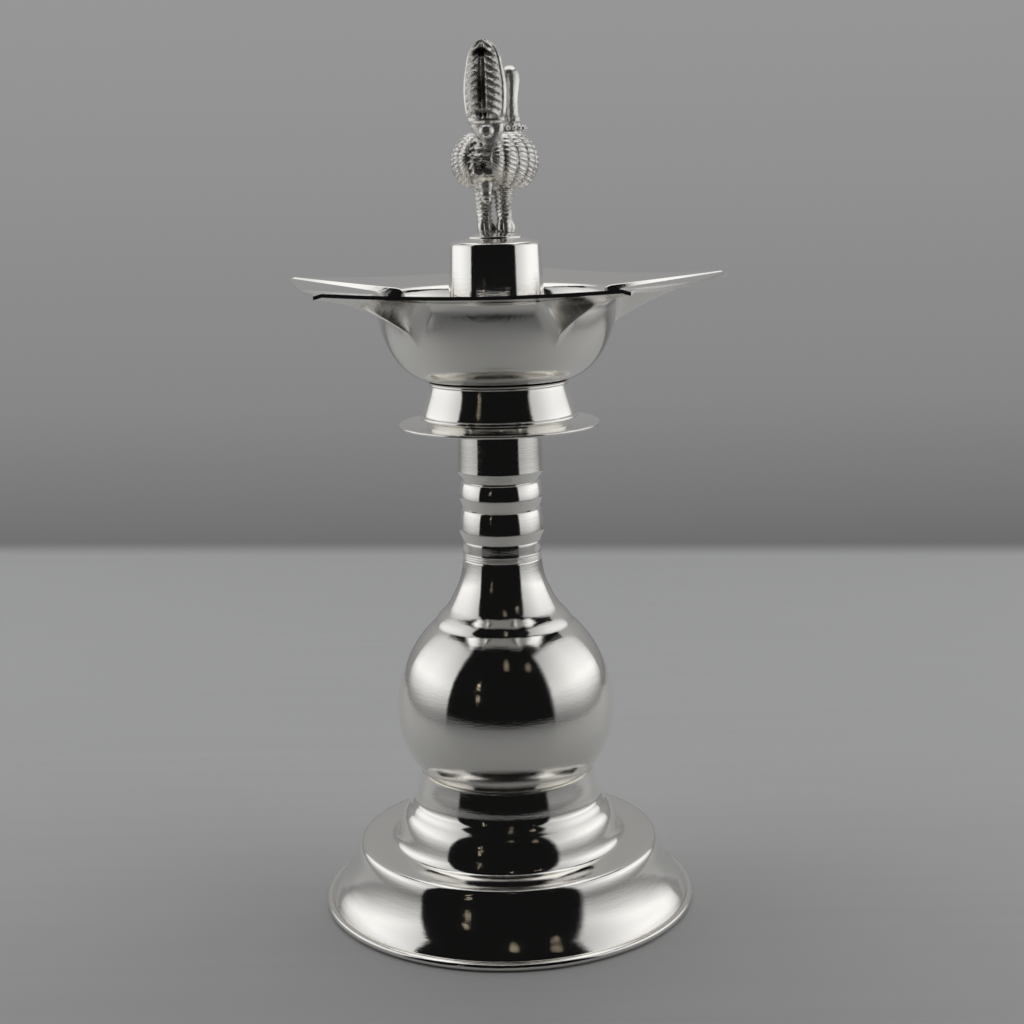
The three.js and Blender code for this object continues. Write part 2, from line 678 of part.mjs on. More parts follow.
function lidScrew() {
  const headTop = capTop - CAP_WALL;
  const outline = [
    [0, headTop - LID_SCREW_HEAD_HEIGHT],
    [LID_SCREW_HEAD_RADIUS, headTop - LID_SCREW_HEAD_HEIGHT],
    [LID_SCREW_HEAD_RADIUS, headTop],
    [LID_SCREW_RADIUS, headTop],
    [LID_SCREW_RADIUS, capTop + 0.5 * PERCH_HEIGHT],
    [0, capTop + 0.5 * PERCH_HEIGHT],
  ];
  return turned(outline, 20);
}

function perch() {
  const hole = LID_SCREW_RADIUS + SOLDER_GAP;
  const holeTop = capTop + 0.5 * PERCH_HEIGHT + SOLDER_GAP;
  const outline = [
    [0, holeTop],
    [hole, holeTop],
    [hole, capTop],
    [PERCH_RADIUS, capTop],
    ...bend(
      [PERCH_RADIUS, capTop + 0.25 * PERCH_HEIGHT],
      [0.8 * PERCH_RADIUS, capTop + 0.6 * PERCH_HEIGHT],
      [0.7 * PERCH_RADIUS, perchTop],
      [0.55 * PERCH_RADIUS, perchTop],
      3,
    ),
    [0, perchTop],
  ];
  return turned(outline, 24);
}

// Bird: X to its right, Y forwards, heights from the top of the perch

const bodyHeight = perchTop + BODY_CENTRE_HEIGHT;

// Half width and half height of the body's section, at a distance forward of its middle
function bodySection(forward, grow) {
  const round = Math.sqrt(Math.max(1 - (forward / (BODY_HALF_LENGTH + grow)) ** 2, 0));
  const swell = 1 + (BODY_CHEST_SWELL * forward) / BODY_HALF_LENGTH;
  return [round * swell * (BODY_HALF_WIDTH + grow), round * swell * (BODY_HALF_HEIGHT + grow)];
}

function birdBody(grow = 0) {
  const geometry = new THREE.SphereGeometry(1, 18, 12);
  const position = geometry.attributes.position;
  for (let i = 0; i < position.count; i += 1) {
    const forward = position.getY(i) * (BODY_HALF_LENGTH + grow);
    const ring = Math.hypot(position.getX(i), position.getZ(i)) || 1;
    const [halfWidth, halfHeight] = bodySection(forward, grow);
    const x = (position.getX(i) / ring) * halfWidth;
    const z = (position.getZ(i) / ring) * halfHeight;
    position.setXYZ(i, x, forward, bodyHeight + z);
  }
  return closed(geometry);
}

// A folded wing: a crescent on the body's side, from its shoulder to its tip
function birdWing(side) {
  const sections = 8;
  const arcSteps = 6;
  const rows = [];
  for (let i = 0; i <= sections; i += 1) {
    const share = 0.04 + (0.92 * i) / sections;
    const forward = THREE.MathUtils.lerp(WING_BACK, WING_FRONT, share);
    const fullness = Math.sin(Math.PI * share) ** 0.5;
    const [low, high] = [-48 * fullness, 52 * fullness + 6];
    const loop = [];
    for (let k = 0; k <= 2 * arcSteps + 1; k += 1) {
      const outside = k <= arcSteps;
      const step = outside ? k / arcSteps : (2 * arcSteps + 1 - k) / arcSteps;
      const grow = outside ? CAST_GAP + WING_THICKNESS * fullness : CAST_GAP;
      const [halfWidth, halfHeight] = bodySection(forward, grow);
      const angle = THREE.MathUtils.degToRad(THREE.MathUtils.lerp(low, high, step));
      const x = side * halfWidth * Math.cos(angle);
      loop.push(new THREE.Vector3(x, forward, bodyHeight + halfHeight * Math.sin(angle)));
    }
    rows.push(loop);
  }
  return skin(rows, true);
}

function birdLeg(side) {
  const stations = [
    [1.4, perchTop + CAST_GAP, 1.9, 2.7],
    [1.1, perchTop + 1.2, 1.7, 2.3],
    [0.2, perchTop + 2.6, 1.3, 1.4],
    [0, perchTop + 5, 1.5, 1.6],
    [0, perchTop + 7.5, 2, 2.3],
    [0, bodyHeight - 0.75 * BODY_HALF_HEIGHT, 2.2, 2.7],
  ];
  return cut(limb(stations, 12).translate(side * LEG_SPREAD, 0, 0), birdBody(CAST_GAP));
}

function birdUnderTail() {
  const middle = bodyHeight - 0.9 * BODY_HALF_HEIGHT;
  const stations = [
    [-6.3, middle - 3, 0.6, 0.5],
    [-6.4, middle - 2, 1.3, 1],
    [-6.6, middle, 1.6, 1.4],
    [-6.8, middle + 3, 1.5, 1.4],
  ];
  return cut(limb(stations, 10), birdBody(CAST_GAP));
}

// Upright plume, as shares of its height, half width, half depth and lean back
function birdTail() {
  const bottom = bodyHeight;
  const height = perchTop + TAIL_TOP_HEIGHT - bottom;
  const plume = [
    [0, 0.2, 0.35, -1],
    [0.12, 0.42, 0.74, -0.33],
    [0.27, 0.72, 0.96, 0],
    [0.42, 0.97, 1, 0.25],
    [0.62, 1, 0.91, 0.5],
    [0.8, 0.88, 0.83, 0.67],
    [0.92, 0.7, 0.7, 0.83],
    [1, 0.2, 0.26, 1],
  ];
  const stations = plume.map(([rise, spread, thickness, lean]) => [
    -TAIL_BACK - lean * TAIL_LEAN,
    bottom + rise * height,
    spread * TAIL_HALF_WIDTH,
    thickness * TAIL_HALF_DEPTH,
  ]);
  return cut(limb(stations, 14), birdBody(CAST_GAP));
}

function birdTailBoss() {
  const back = TAIL_BACK + 0.96 * TAIL_HALF_DEPTH + CAST_GAP + TAIL_BOSS_RADIUS;
  return closed(new THREE.SphereGeometry(TAIL_BOSS_RADIUS, 12, 8))
    .translate(0, -back, perchTop + TAIL_BOSS_HEIGHT);
}

function birdNeck() {
  const top = perchTop + HEAD_TOP_HEIGHT;
  const root = perchTop + NECKLACE_HEIGHT;
  const headForward = NECK_FORWARD + 0.24 * HEAD_RADIUS;
  const stations = [
    [NECK_FORWARD - 1.2 * NECK_RADIUS, bodyHeight + 1, 1.2 * NECK_ROOT_RADIUS, 1.3 * NECK_ROOT_RADIUS],
    [NECK_FORWARD - 0.5 * NECK_RADIUS, root - NECK_RADIUS, 1.1 * NECK_ROOT_RADIUS, 1.18 * NECK_ROOT_RADIUS],
    [NECK_FORWARD - 0.2 * NECK_RADIUS, root, NECK_ROOT_RADIUS, NECK_ROOT_RADIUS],
    [NECK_FORWARD, root + 2 * NECK_RADIUS, NECK_RADIUS, NECK_RADIUS],
    [NECK_FORWARD + 0.1 * NECK_RADIUS, top - HEAD_HEIGHT, 0.95 * NECK_RADIUS, NECK_RADIUS],
    [headForward, top - 0.57 * HEAD_HEIGHT, 0.96 * HEAD_RADIUS, HEAD_RADIUS],
    [headForward, top - 0.2 * HEAD_HEIGHT, 0.8 * HEAD_RADIUS, 0.8 * HEAD_RADIUS],
    [headForward, top, 0.3 * HEAD_RADIUS, 0.3 * HEAD_RADIUS],
  ];
  return cut(limb(stations, 14), birdBody(CAST_GAP));
}

function birdBeak() {
  const front = NECK_FORWARD + 1.24 * HEAD_RADIUS + CAST_GAP;
  return closed(new THREE.ConeGeometry(BEAK_RADIUS, BEAK_LENGTH, 10))
    .translate(0, front + BEAK_LENGTH / 2, perchTop + HEAD_TOP_HEIGHT - 0.57 * HEAD_HEIGHT);
}

function birdNecklace() {
  const radius = NECK_ROOT_RADIUS + CAST_GAP + NECKLACE_BEAD;
  return closed(new THREE.TorusGeometry(radius, NECKLACE_BEAD, 8, 18))
    .translate(0, NECK_FORWARD - 0.2 * NECK_RADIUS, perchTop + NECKLACE_HEIGHT);
}

const foot = new THREE.Group();
foot.add(
  piece('foot_rim_wire', footRimWire(), SILVER),
  piece('foot_shell', footShell(), SILVER),
  piece('stepped_collar', steppedCollar(), SILVER),
  piece('foot_bush', footBush(), INNER_BRASS),
);

const stem = new THREE.Group();
stem.add(
  piece('stem_stud', stemStud(), INNER_BRASS),
  piece('globe', globe(), SILVER),
  piece('neck_flare', neckFlare(), SILVER),
  piece('neck_core', neckCore(), INNER_BRASS),
  piece('neck_band', neckBand(), SILVER),
  piece('neck_ring_lower', neckRingLower(), SILVER),
  piece('neck_ring_upper', neckRingUpper(), SILVER),
  piece('neck_sleeve', neckSleeve(), SILVER),
  piece('neck_plug', neckPlug(), INNER_BRASS),
);

const head = new THREE.Group();
head.add(
  piece('drip_pan', dripPan(), SILVER),
  piece('skirt', skirt(), SILVER),
  piece('bowl_boss', bowlBoss(), INNER_BRASS),
  piece('bowl', bowl(), SILVER),
  piece('lid_post', lidPost(), SILVER),
);

const bird = new THREE.Group();
bird.rotation.z = THREE.MathUtils.degToRad(BIRD_TURN);
bird.add(
  piece('bird_leg_left', birdLeg(-1), CAST_SILVER),
  piece('bird_leg_right', birdLeg(1), CAST_SILVER),
  piece('bird_body', birdBody(), CAST_SILVER),
  piece('bird_wing_left', birdWing(-1), CAST_SILVER),
  piece('bird_wing_right', birdWing(1), CAST_SILVER),
  piece('bird_under_tail', birdUnderTail(), CAST_SILVER),
  piece('bird_tail', birdTail(), CAST_SILVER),
  piece('bird_tail_boss', birdTailBoss(), CAST_SILVER),
  piece('bird_neck', birdNeck(), CAST_SILVER),
  piece('bird_beak', birdBeak(), CAST_SILVER),
  piece('bird_necklace', birdNecklace(), CAST_SILVER),
);

const lid = new THREE.Group();
lid.add(
  piece('lid_cap', lidCap(), SILVER),
  piece('lid_screw', lidScrew(), INNER_BRASS),
  piece('perch', perch(), SILVER),
  bird,
);

const lamp = new THREE.Group();
lamp.add(foot, stem, head, lid);
const boxMiddle = new THREE.Box3().setFromObject(lamp, true).getCenter(new THREE.Vector3());
lamp.position.set(-boxMiddle.x, -boxMiddle.y, 0);

export default lamp;
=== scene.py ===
"""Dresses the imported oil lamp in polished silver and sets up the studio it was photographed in.

Outlines are in millimetres from the lamp's own axis and from the ground, as [radius, height].
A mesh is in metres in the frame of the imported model. The front of the lamp faces -Y.
"""

import math

import bpy
import numpy as np
from bpy.props import FloatProperty, FloatVectorProperty, IntProperty, PointerProperty
from mathutils import Matrix, Vector


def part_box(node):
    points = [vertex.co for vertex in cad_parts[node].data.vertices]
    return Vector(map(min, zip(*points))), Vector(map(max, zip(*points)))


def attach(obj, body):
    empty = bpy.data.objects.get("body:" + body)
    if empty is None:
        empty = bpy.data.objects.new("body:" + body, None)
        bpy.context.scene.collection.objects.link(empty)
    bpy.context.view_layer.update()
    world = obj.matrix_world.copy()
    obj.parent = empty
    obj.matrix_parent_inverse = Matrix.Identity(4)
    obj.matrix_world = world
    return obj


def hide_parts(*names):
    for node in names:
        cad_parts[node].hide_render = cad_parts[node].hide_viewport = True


bl_info = {
    "name": "Standing Oil Lamp",
    "version": (1, 0, 0),
    "blender": (4, 5, 0),
    "location": "View3D > Sidebar > Oil Lamp",
    "description": "Spun and cast silver pieces for a five-wick oil lamp with a bird on its lid",
    "category": "Object",
}

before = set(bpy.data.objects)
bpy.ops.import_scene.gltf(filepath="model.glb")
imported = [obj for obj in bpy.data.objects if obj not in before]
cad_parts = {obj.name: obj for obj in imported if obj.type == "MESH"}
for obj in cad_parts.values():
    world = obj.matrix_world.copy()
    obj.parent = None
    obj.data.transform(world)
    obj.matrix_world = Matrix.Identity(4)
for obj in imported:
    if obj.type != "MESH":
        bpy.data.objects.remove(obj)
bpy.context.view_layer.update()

MM = 0.001


def low_mm(node):
    """Lowest corner of a CAD node's box, in millimetres."""
    return np.array(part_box(node)[0]) / MM


def high_mm(node):
    """Highest corner of a CAD node's box, in millimetres."""
    return np.array(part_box(node)[1]) / MM


def reach_mm(node):
    """Radius of a turned CAD node, in millimetres."""
    return (high_mm(node)[0] - low_mm(node)[0]) / 2


AXIS = (low_mm("foot_rim_wire")[:2] + high_mm("foot_rim_wire")[:2]) / 2
AXIS_FOOT = np.array([*AXIS, 0.0])
FOOT_TOP = high_mm("foot_shell")[2]
COLLAR_TOP = high_mm("stepped_collar")[2]
GLOBE_TOP = high_mm("globe")[2]
FLARE_TOP = high_mm("neck_flare")[2]
BAND_TOP = high_mm("neck_band")[2]
LOWER_RING_TOP = high_mm("neck_ring_lower")[2]
UPPER_RING_TOP = high_mm("neck_ring_upper")[2]
SLEEVE_TOP = high_mm("neck_sleeve")[2]
SKIRT_BOTTOM = low_mm("skirt")[2]
BOWL_BOTTOM = low_mm("bowl")[2]
CAP_FOOT = low_mm("lid_cap")[2]
CAP_TOP = high_mm("lid_cap")[2]
PERCH_TOP = high_mm("perch")[2]

# Camera, found by fitting the ellipses of the lamp's rims in the photograph
LENS = 59.77
SENSOR = 36.0
CAMERA_PLACE = (2.52, -395.2, 172.8)
CAMERA_PITCH = 78.9
CAMERA_ROLL = -1.25

# Walls of the sheet metal, in millimetres
FOOT_SHEET = 1.1
COLLAR_WALL = 1.3
GLOBE_SHEET = 1.1
BOWL_SHEET = 0.8
PAN_SHEET = 0.8
CAP_WALL = 0.9
CORE_RADIUS = 7.6
SCREW_HOLE = 1.8

# Bowl: a cup with a five-pointed flange, and a V channel in each point
SPOUTS = 5
SPOUT_BEARING = -42.4
FLANGE_RISE = 2.9
BOWL_BEND = 3.0
CHANNEL_ROOT_WIDTH = 12.5
CHANNEL_TIP_WIDTH = 3.0
CHANNEL_ROOT_DEPTH = 8.0
CHANNEL_TIP_DEPTH = 0.6
KEEL_ROUND = 0.06

# Grain of the finishes: depths in metres, and how often each repeats along three directions
CAST_GRAIN = 0.00015
BRASS_MARKS = 0.00001
HAIR_SCALE = (0.5, 0.5, 3.4)
CHATTER_SCALE = (0.06, 0.06, 0.6)
BRASS_SCALE = (30.0, 30.0, 2500.0)
STREAK_SCALE = (6.0, 190.0, 1.0)


# Sizes and finishes that a user would change


def length_setting(name, description, default):
    """A property for a length in metres."""
    return FloatProperty(name=name, description=description, default=default, unit="LENGTH")


def colour_setting(name, description, default):
    """A property for a colour."""
    return FloatVectorProperty(name=name, description=description, default=default, size=3,
                               subtype="COLOR", min=0, max=1)


def light_setting(name, description, default):
    """A property for the brightness of a light."""
    return FloatProperty(name=name, description=description, default=default, min=0)


class LampSizes(bpy.types.PropertyGroup):
    """Sizes of the lamp's silver pieces."""

    foot_radius: length_setting(
        "Foot radius", "Outer radius of the foot's rim", reach_mm("foot_rim_wire") * MM)
    plateau_radius: length_setting(
        "Plateau radius", "Radius of the rounded edge round the foot's flat top", 0.0362)
    collar_radius: length_setting("Collar radius", "Radius of the collar's wall under the globe", 0.0208)
    globe_radius: length_setting(
        "Globe radius", "Largest radius of the ball in the stem", reach_mm("globe") * MM)
    pan_radius: length_setting("Drip pan radius", "Outer radius of the drip pan", reach_mm("drip_pan") * MM)
    bowl_radius: length_setting(
        "Bowl radius", "Outer radius of the bowl where it bends into the flange", 0.0282)
    spout_reach: length_setting("Spout reach", "Distance from the axis to the tip of a wick spout", 0.0559)
    cap_radius: length_setting(
        "Cap radius", "Radius of the lid's cap at its foot", reach_mm("lid_cap") * MM)
    steps: IntProperty(name="Steps round", description="Number of faces round each turned piece",
                       default=192, min=48, max=512)


class LampFinish(bpy.types.PropertyGroup):
    """Colours and polish of the lamp."""

    silver: colour_setting("Silver", "Colour of the polished silver plate", (0.93, 0.915, 0.88))
    tarnish: colour_setting("Tarnish", "Colour of the faint bloom in the silver", (0.86, 0.83, 0.78))
    cast: colour_setting("Cast silver", "Colour of the bird on its ridges", (0.92, 0.9, 0.86))
    hollows: colour_setting("Hollows", "Colour of the bird's tarnished grooves", (0.12, 0.105, 0.085))
    brass: colour_setting("Brass", "Colour of the hidden brass fittings", (0.71, 0.53, 0.27))
    polish: FloatProperty(name="Roughness", description="Lowest roughness of the polished silver",
                          default=0.035, min=0, max=1, subtype="FACTOR")
    mark_depth: length_setting("Turning marks", "Depth of the fine marks that the lathe left", 0.000022)


class LampStudio(bpy.types.PropertyGroup):
    """Light and surroundings of the photograph."""

    left_light: light_setting("Left light", "Brightness of the light wall at the left", 1.03)
    right_light: light_setting("Right light", "Brightness of the light wall at the right", 1.07)
    overhead: light_setting("Overhead light", "Brightness of the light above the lamp", 1.03)
    # The backdrop is a glowing wall with painted light and shade; this sets the strength of its glow.
    backdrop: light_setting("Backdrop", "Brightness of the grey wall behind", 1.0)
    room: light_setting("Room", "Brightness of the dark room behind the camera", 0.006)
    table: colour_setting("Table", "Colour of the table", (0.6, 0.605, 0.605))


# Curves


def arc(radius, height, half_width, half_height, start, end, count):
    """Points on an ellipse about (radius, height), from one angle to another, in degrees."""
    angle = np.radians(np.linspace(start, end, count))
    return np.stack([radius + half_width * np.cos(angle), height + half_height * np.sin(angle)], 1)


def bend(a, b, c, d, count):
    """Points on the cubic curve that leaves a towards b and comes to d from c."""
    t = np.linspace(0, 1, count)[:, None]
    a, b, c, d = (np.array(p, float) for p in (a, b, c, d))
    return (1 - t) ** 3 * a + 3 * t * (1 - t) ** 2 * b + 3 * t * t * (1 - t) * c + t ** 3 * d


def straight(a, b, count):
    """Points on the line from a to b."""
    t = np.linspace(0, 1, count)[:, None]
    return (1 - t) * np.array(a, float) + t * np.array(b, float)


def through(points, per_span):
    """Points on a smooth curve through the given ones: a cubic in each span whose slope at a
    given point is half the way from the point before it to the point after it."""
    p = np.array(points, float)
    padded = np.vstack([2 * p[0] - p[1], p, 2 * p[-1] - p[-2]])
    t = np.linspace(0, 1, per_span, endpoint=False)[None, :, None]
    p0, p1, p2, p3 = (padded[i:len(p) - 1 + i, None, :] for i in range(4))
    slope1 = (p2 - p0) / 2
    slope2 = (p3 - p1) / 2
    spans = ((2 * t ** 3 - 3 * t ** 2 + 1) * p1 + (t ** 3 - 2 * t ** 2 + t) * slope1
             + (3 * t ** 2 - 2 * t ** 3) * p2 + (t ** 3 - t ** 2) * slope2)
    return np.vstack([spans.reshape(-1, p.shape[1]), p[-1:]])


def full_turn(count):
    """Angles evenly round a circle, from 0, in a row."""
    return np.linspace(0, 2 * np.pi, count, endpoint=False)[None, :]


def grid_of(x, y, z):
    """Points from three numbers or arrays, each spread over the grid that they make together."""
    return np.stack(np.broadcast_arrays(x, y, z), -1)


def about_axis(radius, angle, height):
    """Points at a radius, an angle from the front towards +X, and a height."""
    return grid_of(radius * np.sin(angle), -radius * np.cos(angle), height)


def coordinates(points):
    """The three numbers of every point, each as a grid of its own."""
    return np.moveaxis(points, -1, 0)


def lengths(points):
    """How far along its line each point lies. The lines run along the last axis but one."""
    step = np.linalg.norm(np.diff(points, axis=-2), axis=-1)
    return np.concatenate([np.zeros(step.shape[:-1] + (1,)), np.cumsum(step, -1)], -1)


def joined(*parts):
    """One outline from several stretches, without the points that would fall on each other."""
    outline = np.vstack([np.atleast_2d(np.array(part, float)) for part in parts])
    step = np.linalg.norm(np.diff(outline, axis=0), axis=1)
    return outline[np.concatenate([[True], step > 1e-4])]


def leaning(start, turns, end, soft=0.4, step=0.15):
    """A curve down and outwards from start, given as pairs of length and lean from the upright.

    Each step moves by its length times the sine of the lean outwards and the cosine down. The
    lean is averaged over the soft length, and the curve is drawn evenly towards its end.
    """
    turns = np.array(turns, float)
    length = np.linspace(0, turns[-1, 0], round(turns[-1, 0] / step) + 1)
    lean = np.radians(np.interp(length, turns[:, 0], turns[:, 1]))
    width = max(1, round(soft / step))
    padded = np.pad(lean, (width // 2, width - 1 - width // 2), mode="edge")
    lean = np.convolve(padded, np.ones(width) / width, "valid")
    move = np.stack([np.sin(lean), -np.cos(lean)], 1)[1:] * (length[1] - length[0])
    curve = np.vstack([[0.0, 0.0], np.cumsum(move, 0)]) + np.array(start, float)
    share = (length / length[-1])[:, None]
    return curve + share * (np.array(end, float) - curve[-1])


# Meshes


def grid_faces(rows, columns, close_rows):
    """Corner numbers of the quads between neighbouring points of a grid of closed rows."""
    i = np.arange(rows if close_rows else rows - 1)[:, None]
    j = np.arange(columns)[None, :]
    here = i * columns + j
    side = i * columns + (j + 1) % columns
    above = ((i + 1) % rows) * columns + (j + 1) % columns
    far = ((i + 1) % rows) * columns + j
    return np.stack([here, side, above, far], -1).reshape(-1, 4)


def signed_volume(points, faces):
    """Volume inside a closed mesh of quads, below zero where they look inwards."""
    a, b, c, d = (points[faces[:, corner]] for corner in range(4))
    return np.einsum("ij,ij->", a, np.cross(b, c) + np.cross(c, d)) / 6


def linked(name, data):
    """A new object of the scene with the given data."""
    piece = bpy.data.objects.new(name, data)
    bpy.context.scene.collection.objects.link(piece)
    return piece


def placed_mesh(name, points, faces, material):
    """A mesh from points in millimetres about the lamp's axis."""
    mesh = bpy.data.meshes.new(name)
    mesh.from_pydata(((points + AXIS_FOOT) * MM).tolist(), [], faces)
    mesh.materials.append(material)
    return mesh


def add_piece(name, points, faces, body, slot, node, marks, extra=(), sharp=32):
    """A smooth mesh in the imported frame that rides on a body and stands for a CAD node.

    points are in millimetres about the lamp's axis. extra holds the triangles that close poles.
    marks is one vector per point, which the material's turning marks or hollows follow.
    """
    loops = [tuple(face) for face in faces.tolist()] + list(extra)
    mesh = placed_mesh(name, points, loops, metal(slot))
    if signed_volume(points, faces) < 0:
        mesh.flip_normals()
    mesh.update()
    mesh.polygons.foreach_set("use_smooth", np.ones(len(mesh.polygons), bool))
    mesh.set_sharp_from_angle(angle=math.radians(sharp))
    attribute = mesh.attributes.new("marks", "FLOAT_VECTOR", "POINT")
    attribute.data.foreach_set("vector", np.ascontiguousarray(marks, np.float32).ravel())
    piece = linked(name, mesh)
    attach(piece, body)
    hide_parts(node)


def with_poles(points, marks, ends):
    """A grid of closed rows with a centre point and a fan of triangles at each given row.

    ends holds pairs of row number and centre. Returns points, marks and triangles.
    """
    rows, columns = points.shape[:2]
    points, marks = points.reshape(-1, 3), marks.reshape(-1, 3)
    extra = []
    for row, centre in ends:
        here = np.arange(columns) + row * columns
        side = (np.arange(columns) + 1) % columns + row * columns
        order = (side, here) if row == 0 else (here, side)
        extra += [(int(a), int(b), len(points)) for a, b in zip(*order)]
        points = np.vstack([points, centre])
        marks = np.vstack([marks, marks[row * columns]])
    return points, marks, extra


def turned(name, outline, body, node):
    """A turned piece: the closed outline, carried in a circle about the lamp's axis. An outline
    whose first or last point is on the axis is closed there by a pole."""
    steps = bpy.context.scene.lamp_sizes.steps
    outline = joined(outline)
    if np.linalg.norm(outline[0] - outline[-1]) < 1e-4:
        outline = outline[:-1]
    on_axis = outline[:, 0] < 1e-6
    ring = outline[~on_axis]
    radius = ring[:, 0, None]
    points = about_axis(radius, full_turn(steps), ring[:, 1, None])
    lines = about_axis(radius, full_turn(steps), lengths(ring)[:, None])
    last = len(ring) - 1
    ends = [(min(pole, last), (0, 0, outline[pole, 1])) for pole in np.flatnonzero(on_axis)]
    points, marks, extra = with_poles(points, lines, ends)
    faces = grid_faces(len(ring), steps, not on_axis.any())
    add_piece(name, points, faces, body, "silver", node, marks, extra)


# Materials


class Maths:
    """A socket, or a number, that Python's own operators turn into Math nodes."""

    def __init__(self, tree, socket):
        self.tree = tree
        self.socket = socket

    def _node(self, operation, other):
        node = add(self.tree, "ShaderNodeMath", {"operation": operation}, {0: self, 1: other})
        return Maths(self.tree, node.outputs[0])

    def __add__(self, other):
        return self._node("ADD", other)

    def __sub__(self, other):
        return self._node("SUBTRACT", other)

    def __mul__(self, other):
        return self._node("MULTIPLY", other)

    def clipped(self):
        return Maths(self.tree, add(self.tree, "ShaderNodeClamp", {}, {"Value": self}).outputs[0])


def feed(tree, node, inputs):
    """Gives the sockets of a node their values or links."""
    for key, value in inputs.items():
        source = value.socket if isinstance(value, Maths) else value
        if isinstance(source, bpy.types.NodeSocket):
            tree.links.new(source, node.inputs[key])
        else:
            node.inputs[key].default_value = source


def add(tree, kind, settings, inputs):
    """A node of a type, with its settings and with the values or links of its sockets."""
    node = tree.nodes.new(kind)
    for key, value in settings.items():
        setattr(node, key, value)
    feed(tree, node, inputs)
    return node


def new_material(name, kind="ShaderNodeBsdfPrincipled"):
    """An empty material with its tree, a shader and that shader's link to the output."""
    material = bpy.data.materials.new(name)
    material.use_nodes = True
    tree = material.node_tree
    tree.nodes.clear()
    shader = tree.nodes.new(kind)
    output = tree.nodes.new("ShaderNodeOutputMaterial")
    tree.links.new(shader.outputs[0], output.inputs["Surface"])
    return material, tree, shader


def object_place(tree):
    """Socket of the place in the piece's own frame, in metres."""
    return add(tree, "ShaderNodeTexCoord", {}, {}).outputs["Object"]


def own_marks(tree):
    """Socket of the vectors that the piece carries for its material."""
    return add(tree, "ShaderNodeAttribute", {"attribute_name": "marks"}, {}).outputs["Vector"]


def split(tree, vector):
    """The three parts of a vector."""
    node = add(tree, "ShaderNodeSeparateXYZ", {}, {0: vector})
    return [Maths(tree, part) for part in node.outputs]


def scaled(tree, vector, scale):
    """Socket of a vector whose parts are each multiplied by their own number."""
    return add(tree, "ShaderNodeVectorMath", {"operation": "MULTIPLY"}, {0: vector, 1: scale}).outputs[0]


def noise(tree, vector, scale, detail=3.0, rough=0.5):
    """Noise from 0 to 1 over a vector."""
    inputs = {"Vector": vector, "Scale": scale, "Detail": detail, "Roughness": rough}
    return Maths(tree, add(tree, "ShaderNodeTexNoise", {}, inputs).outputs["Fac"])


def mixed(tree, share, first, second):
    """Socket of the colour that goes from the first to the second with the share."""
    inputs = {0: share, 6: (*first, 1.0), 7: (*second, 1.0)}
    return add(tree, "ShaderNodeMix", {"data_type": "RGBA"}, inputs).outputs[2]


def bumped(tree, height, depth):
    """Socket of the normal over a height from 0 to 1 that is depth metres deep."""
    inputs = {"Height": height, "Strength": 1.0, "Distance": depth}
    return add(tree, "ShaderNodeBump", {}, inputs).outputs[0]


def ramp(tree, value, low, high, stops):
    """Socket of the level that a value between low and high has, from pairs of share and level."""
    share = add(tree, "ShaderNodeMapRange", {}, {"Value": value, 1: low, 2: high})
    node = add(tree, "ShaderNodeValToRGB", {}, {0: share.outputs[0]})
    elements = node.color_ramp.elements
    while len(elements) < len(stops):
        elements.new(0.5)
    for element, (position, level) in zip(elements, stops):
        element.position = position
        element.color = (level, level, level, 1)
    return node.outputs[0]


def spun_silver(tree, shader, finish):
    """Spun silver plate: nearly a mirror, with hair-fine turning marks that run round the piece,
    a few deeper ones, and a faint warm bloom."""
    marks = own_marks(tree)
    hair = noise(tree, scaled(tree, marks, HAIR_SCALE), 1.0, 4.0, 0.6)
    chatter = noise(tree, scaled(tree, marks, CHATTER_SCALE), 1.0, 2.0, 0.5)
    bloom = noise(tree, object_place(tree), 55.0, 3.0, 0.55)
    feed(tree, shader, {
        "Base Color": mixed(tree, (bloom * 0.5 - 0.12).clipped(), finish.silver, finish.tarnish),
        "Roughness": hair * 0.05 + bloom * 0.02 + finish.polish,
        "Normal": bumped(tree, hair * 0.7 + chatter * 0.9, finish.mark_depth), "Metallic": 1.0})


def frosted_silver(tree, shader, finish):
    """Cast silver with a lightly frosted skin: bright on its ridges, dull and dark in the hollows
    between them. The first part of the piece's marks says how deep in a hollow a place is."""
    place = object_place(tree)
    skin = noise(tree, place, 900.0, 4.0, 0.6)
    bloom = noise(tree, place, 160.0, 3.0, 0.5)
    hollow = (split(tree, own_marks(tree))[0] * 1.1 + bloom * 0.3 - 0.2).clipped()
    feed(tree, shader, {
        "Base Color": mixed(tree, hollow, finish.cast, finish.hollows),
        "Roughness": skin * 0.08 + hollow * 0.15 + 0.1,
        "Normal": bumped(tree, skin, CAST_GRAIN), "Metallic": 0.76})


def hidden_brass(tree, shader, finish):
    """Plain turned brass with fine marks in height, for the fittings hidden inside."""
    marks = noise(tree, scaled(tree, object_place(tree), BRASS_SCALE), 1.0)
    feed(tree, shader, {
        "Base Color": mixed(tree, marks, finish.brass, [0.8 * part for part in finish.brass]),
        "Roughness": marks * 0.2 + 0.25,
        "Normal": bumped(tree, marks, BRASS_MARKS), "Metallic": 1.0})


METALS = {"silver": spun_silver, "cast_silver": frosted_silver, "inner_brass": hidden_brass}


def metal(slot):
    """The material of a slot, built when it is first asked for."""
    build = METALS[slot]
    if build.__name__ not in bpy.data.materials:
        _, tree, shader = new_material(build.__name__)
        build(tree, shader, bpy.context.scene.lamp_finish)
    return bpy.data.materials[build.__name__]


def brass_nodes(*nodes):
    """Gives the CAD nodes that keep their shape the look of turned brass."""
    for node in nodes:
        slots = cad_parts[node].data.materials
        slots.clear()
        slots.append(metal("inner_brass"))


# Foot


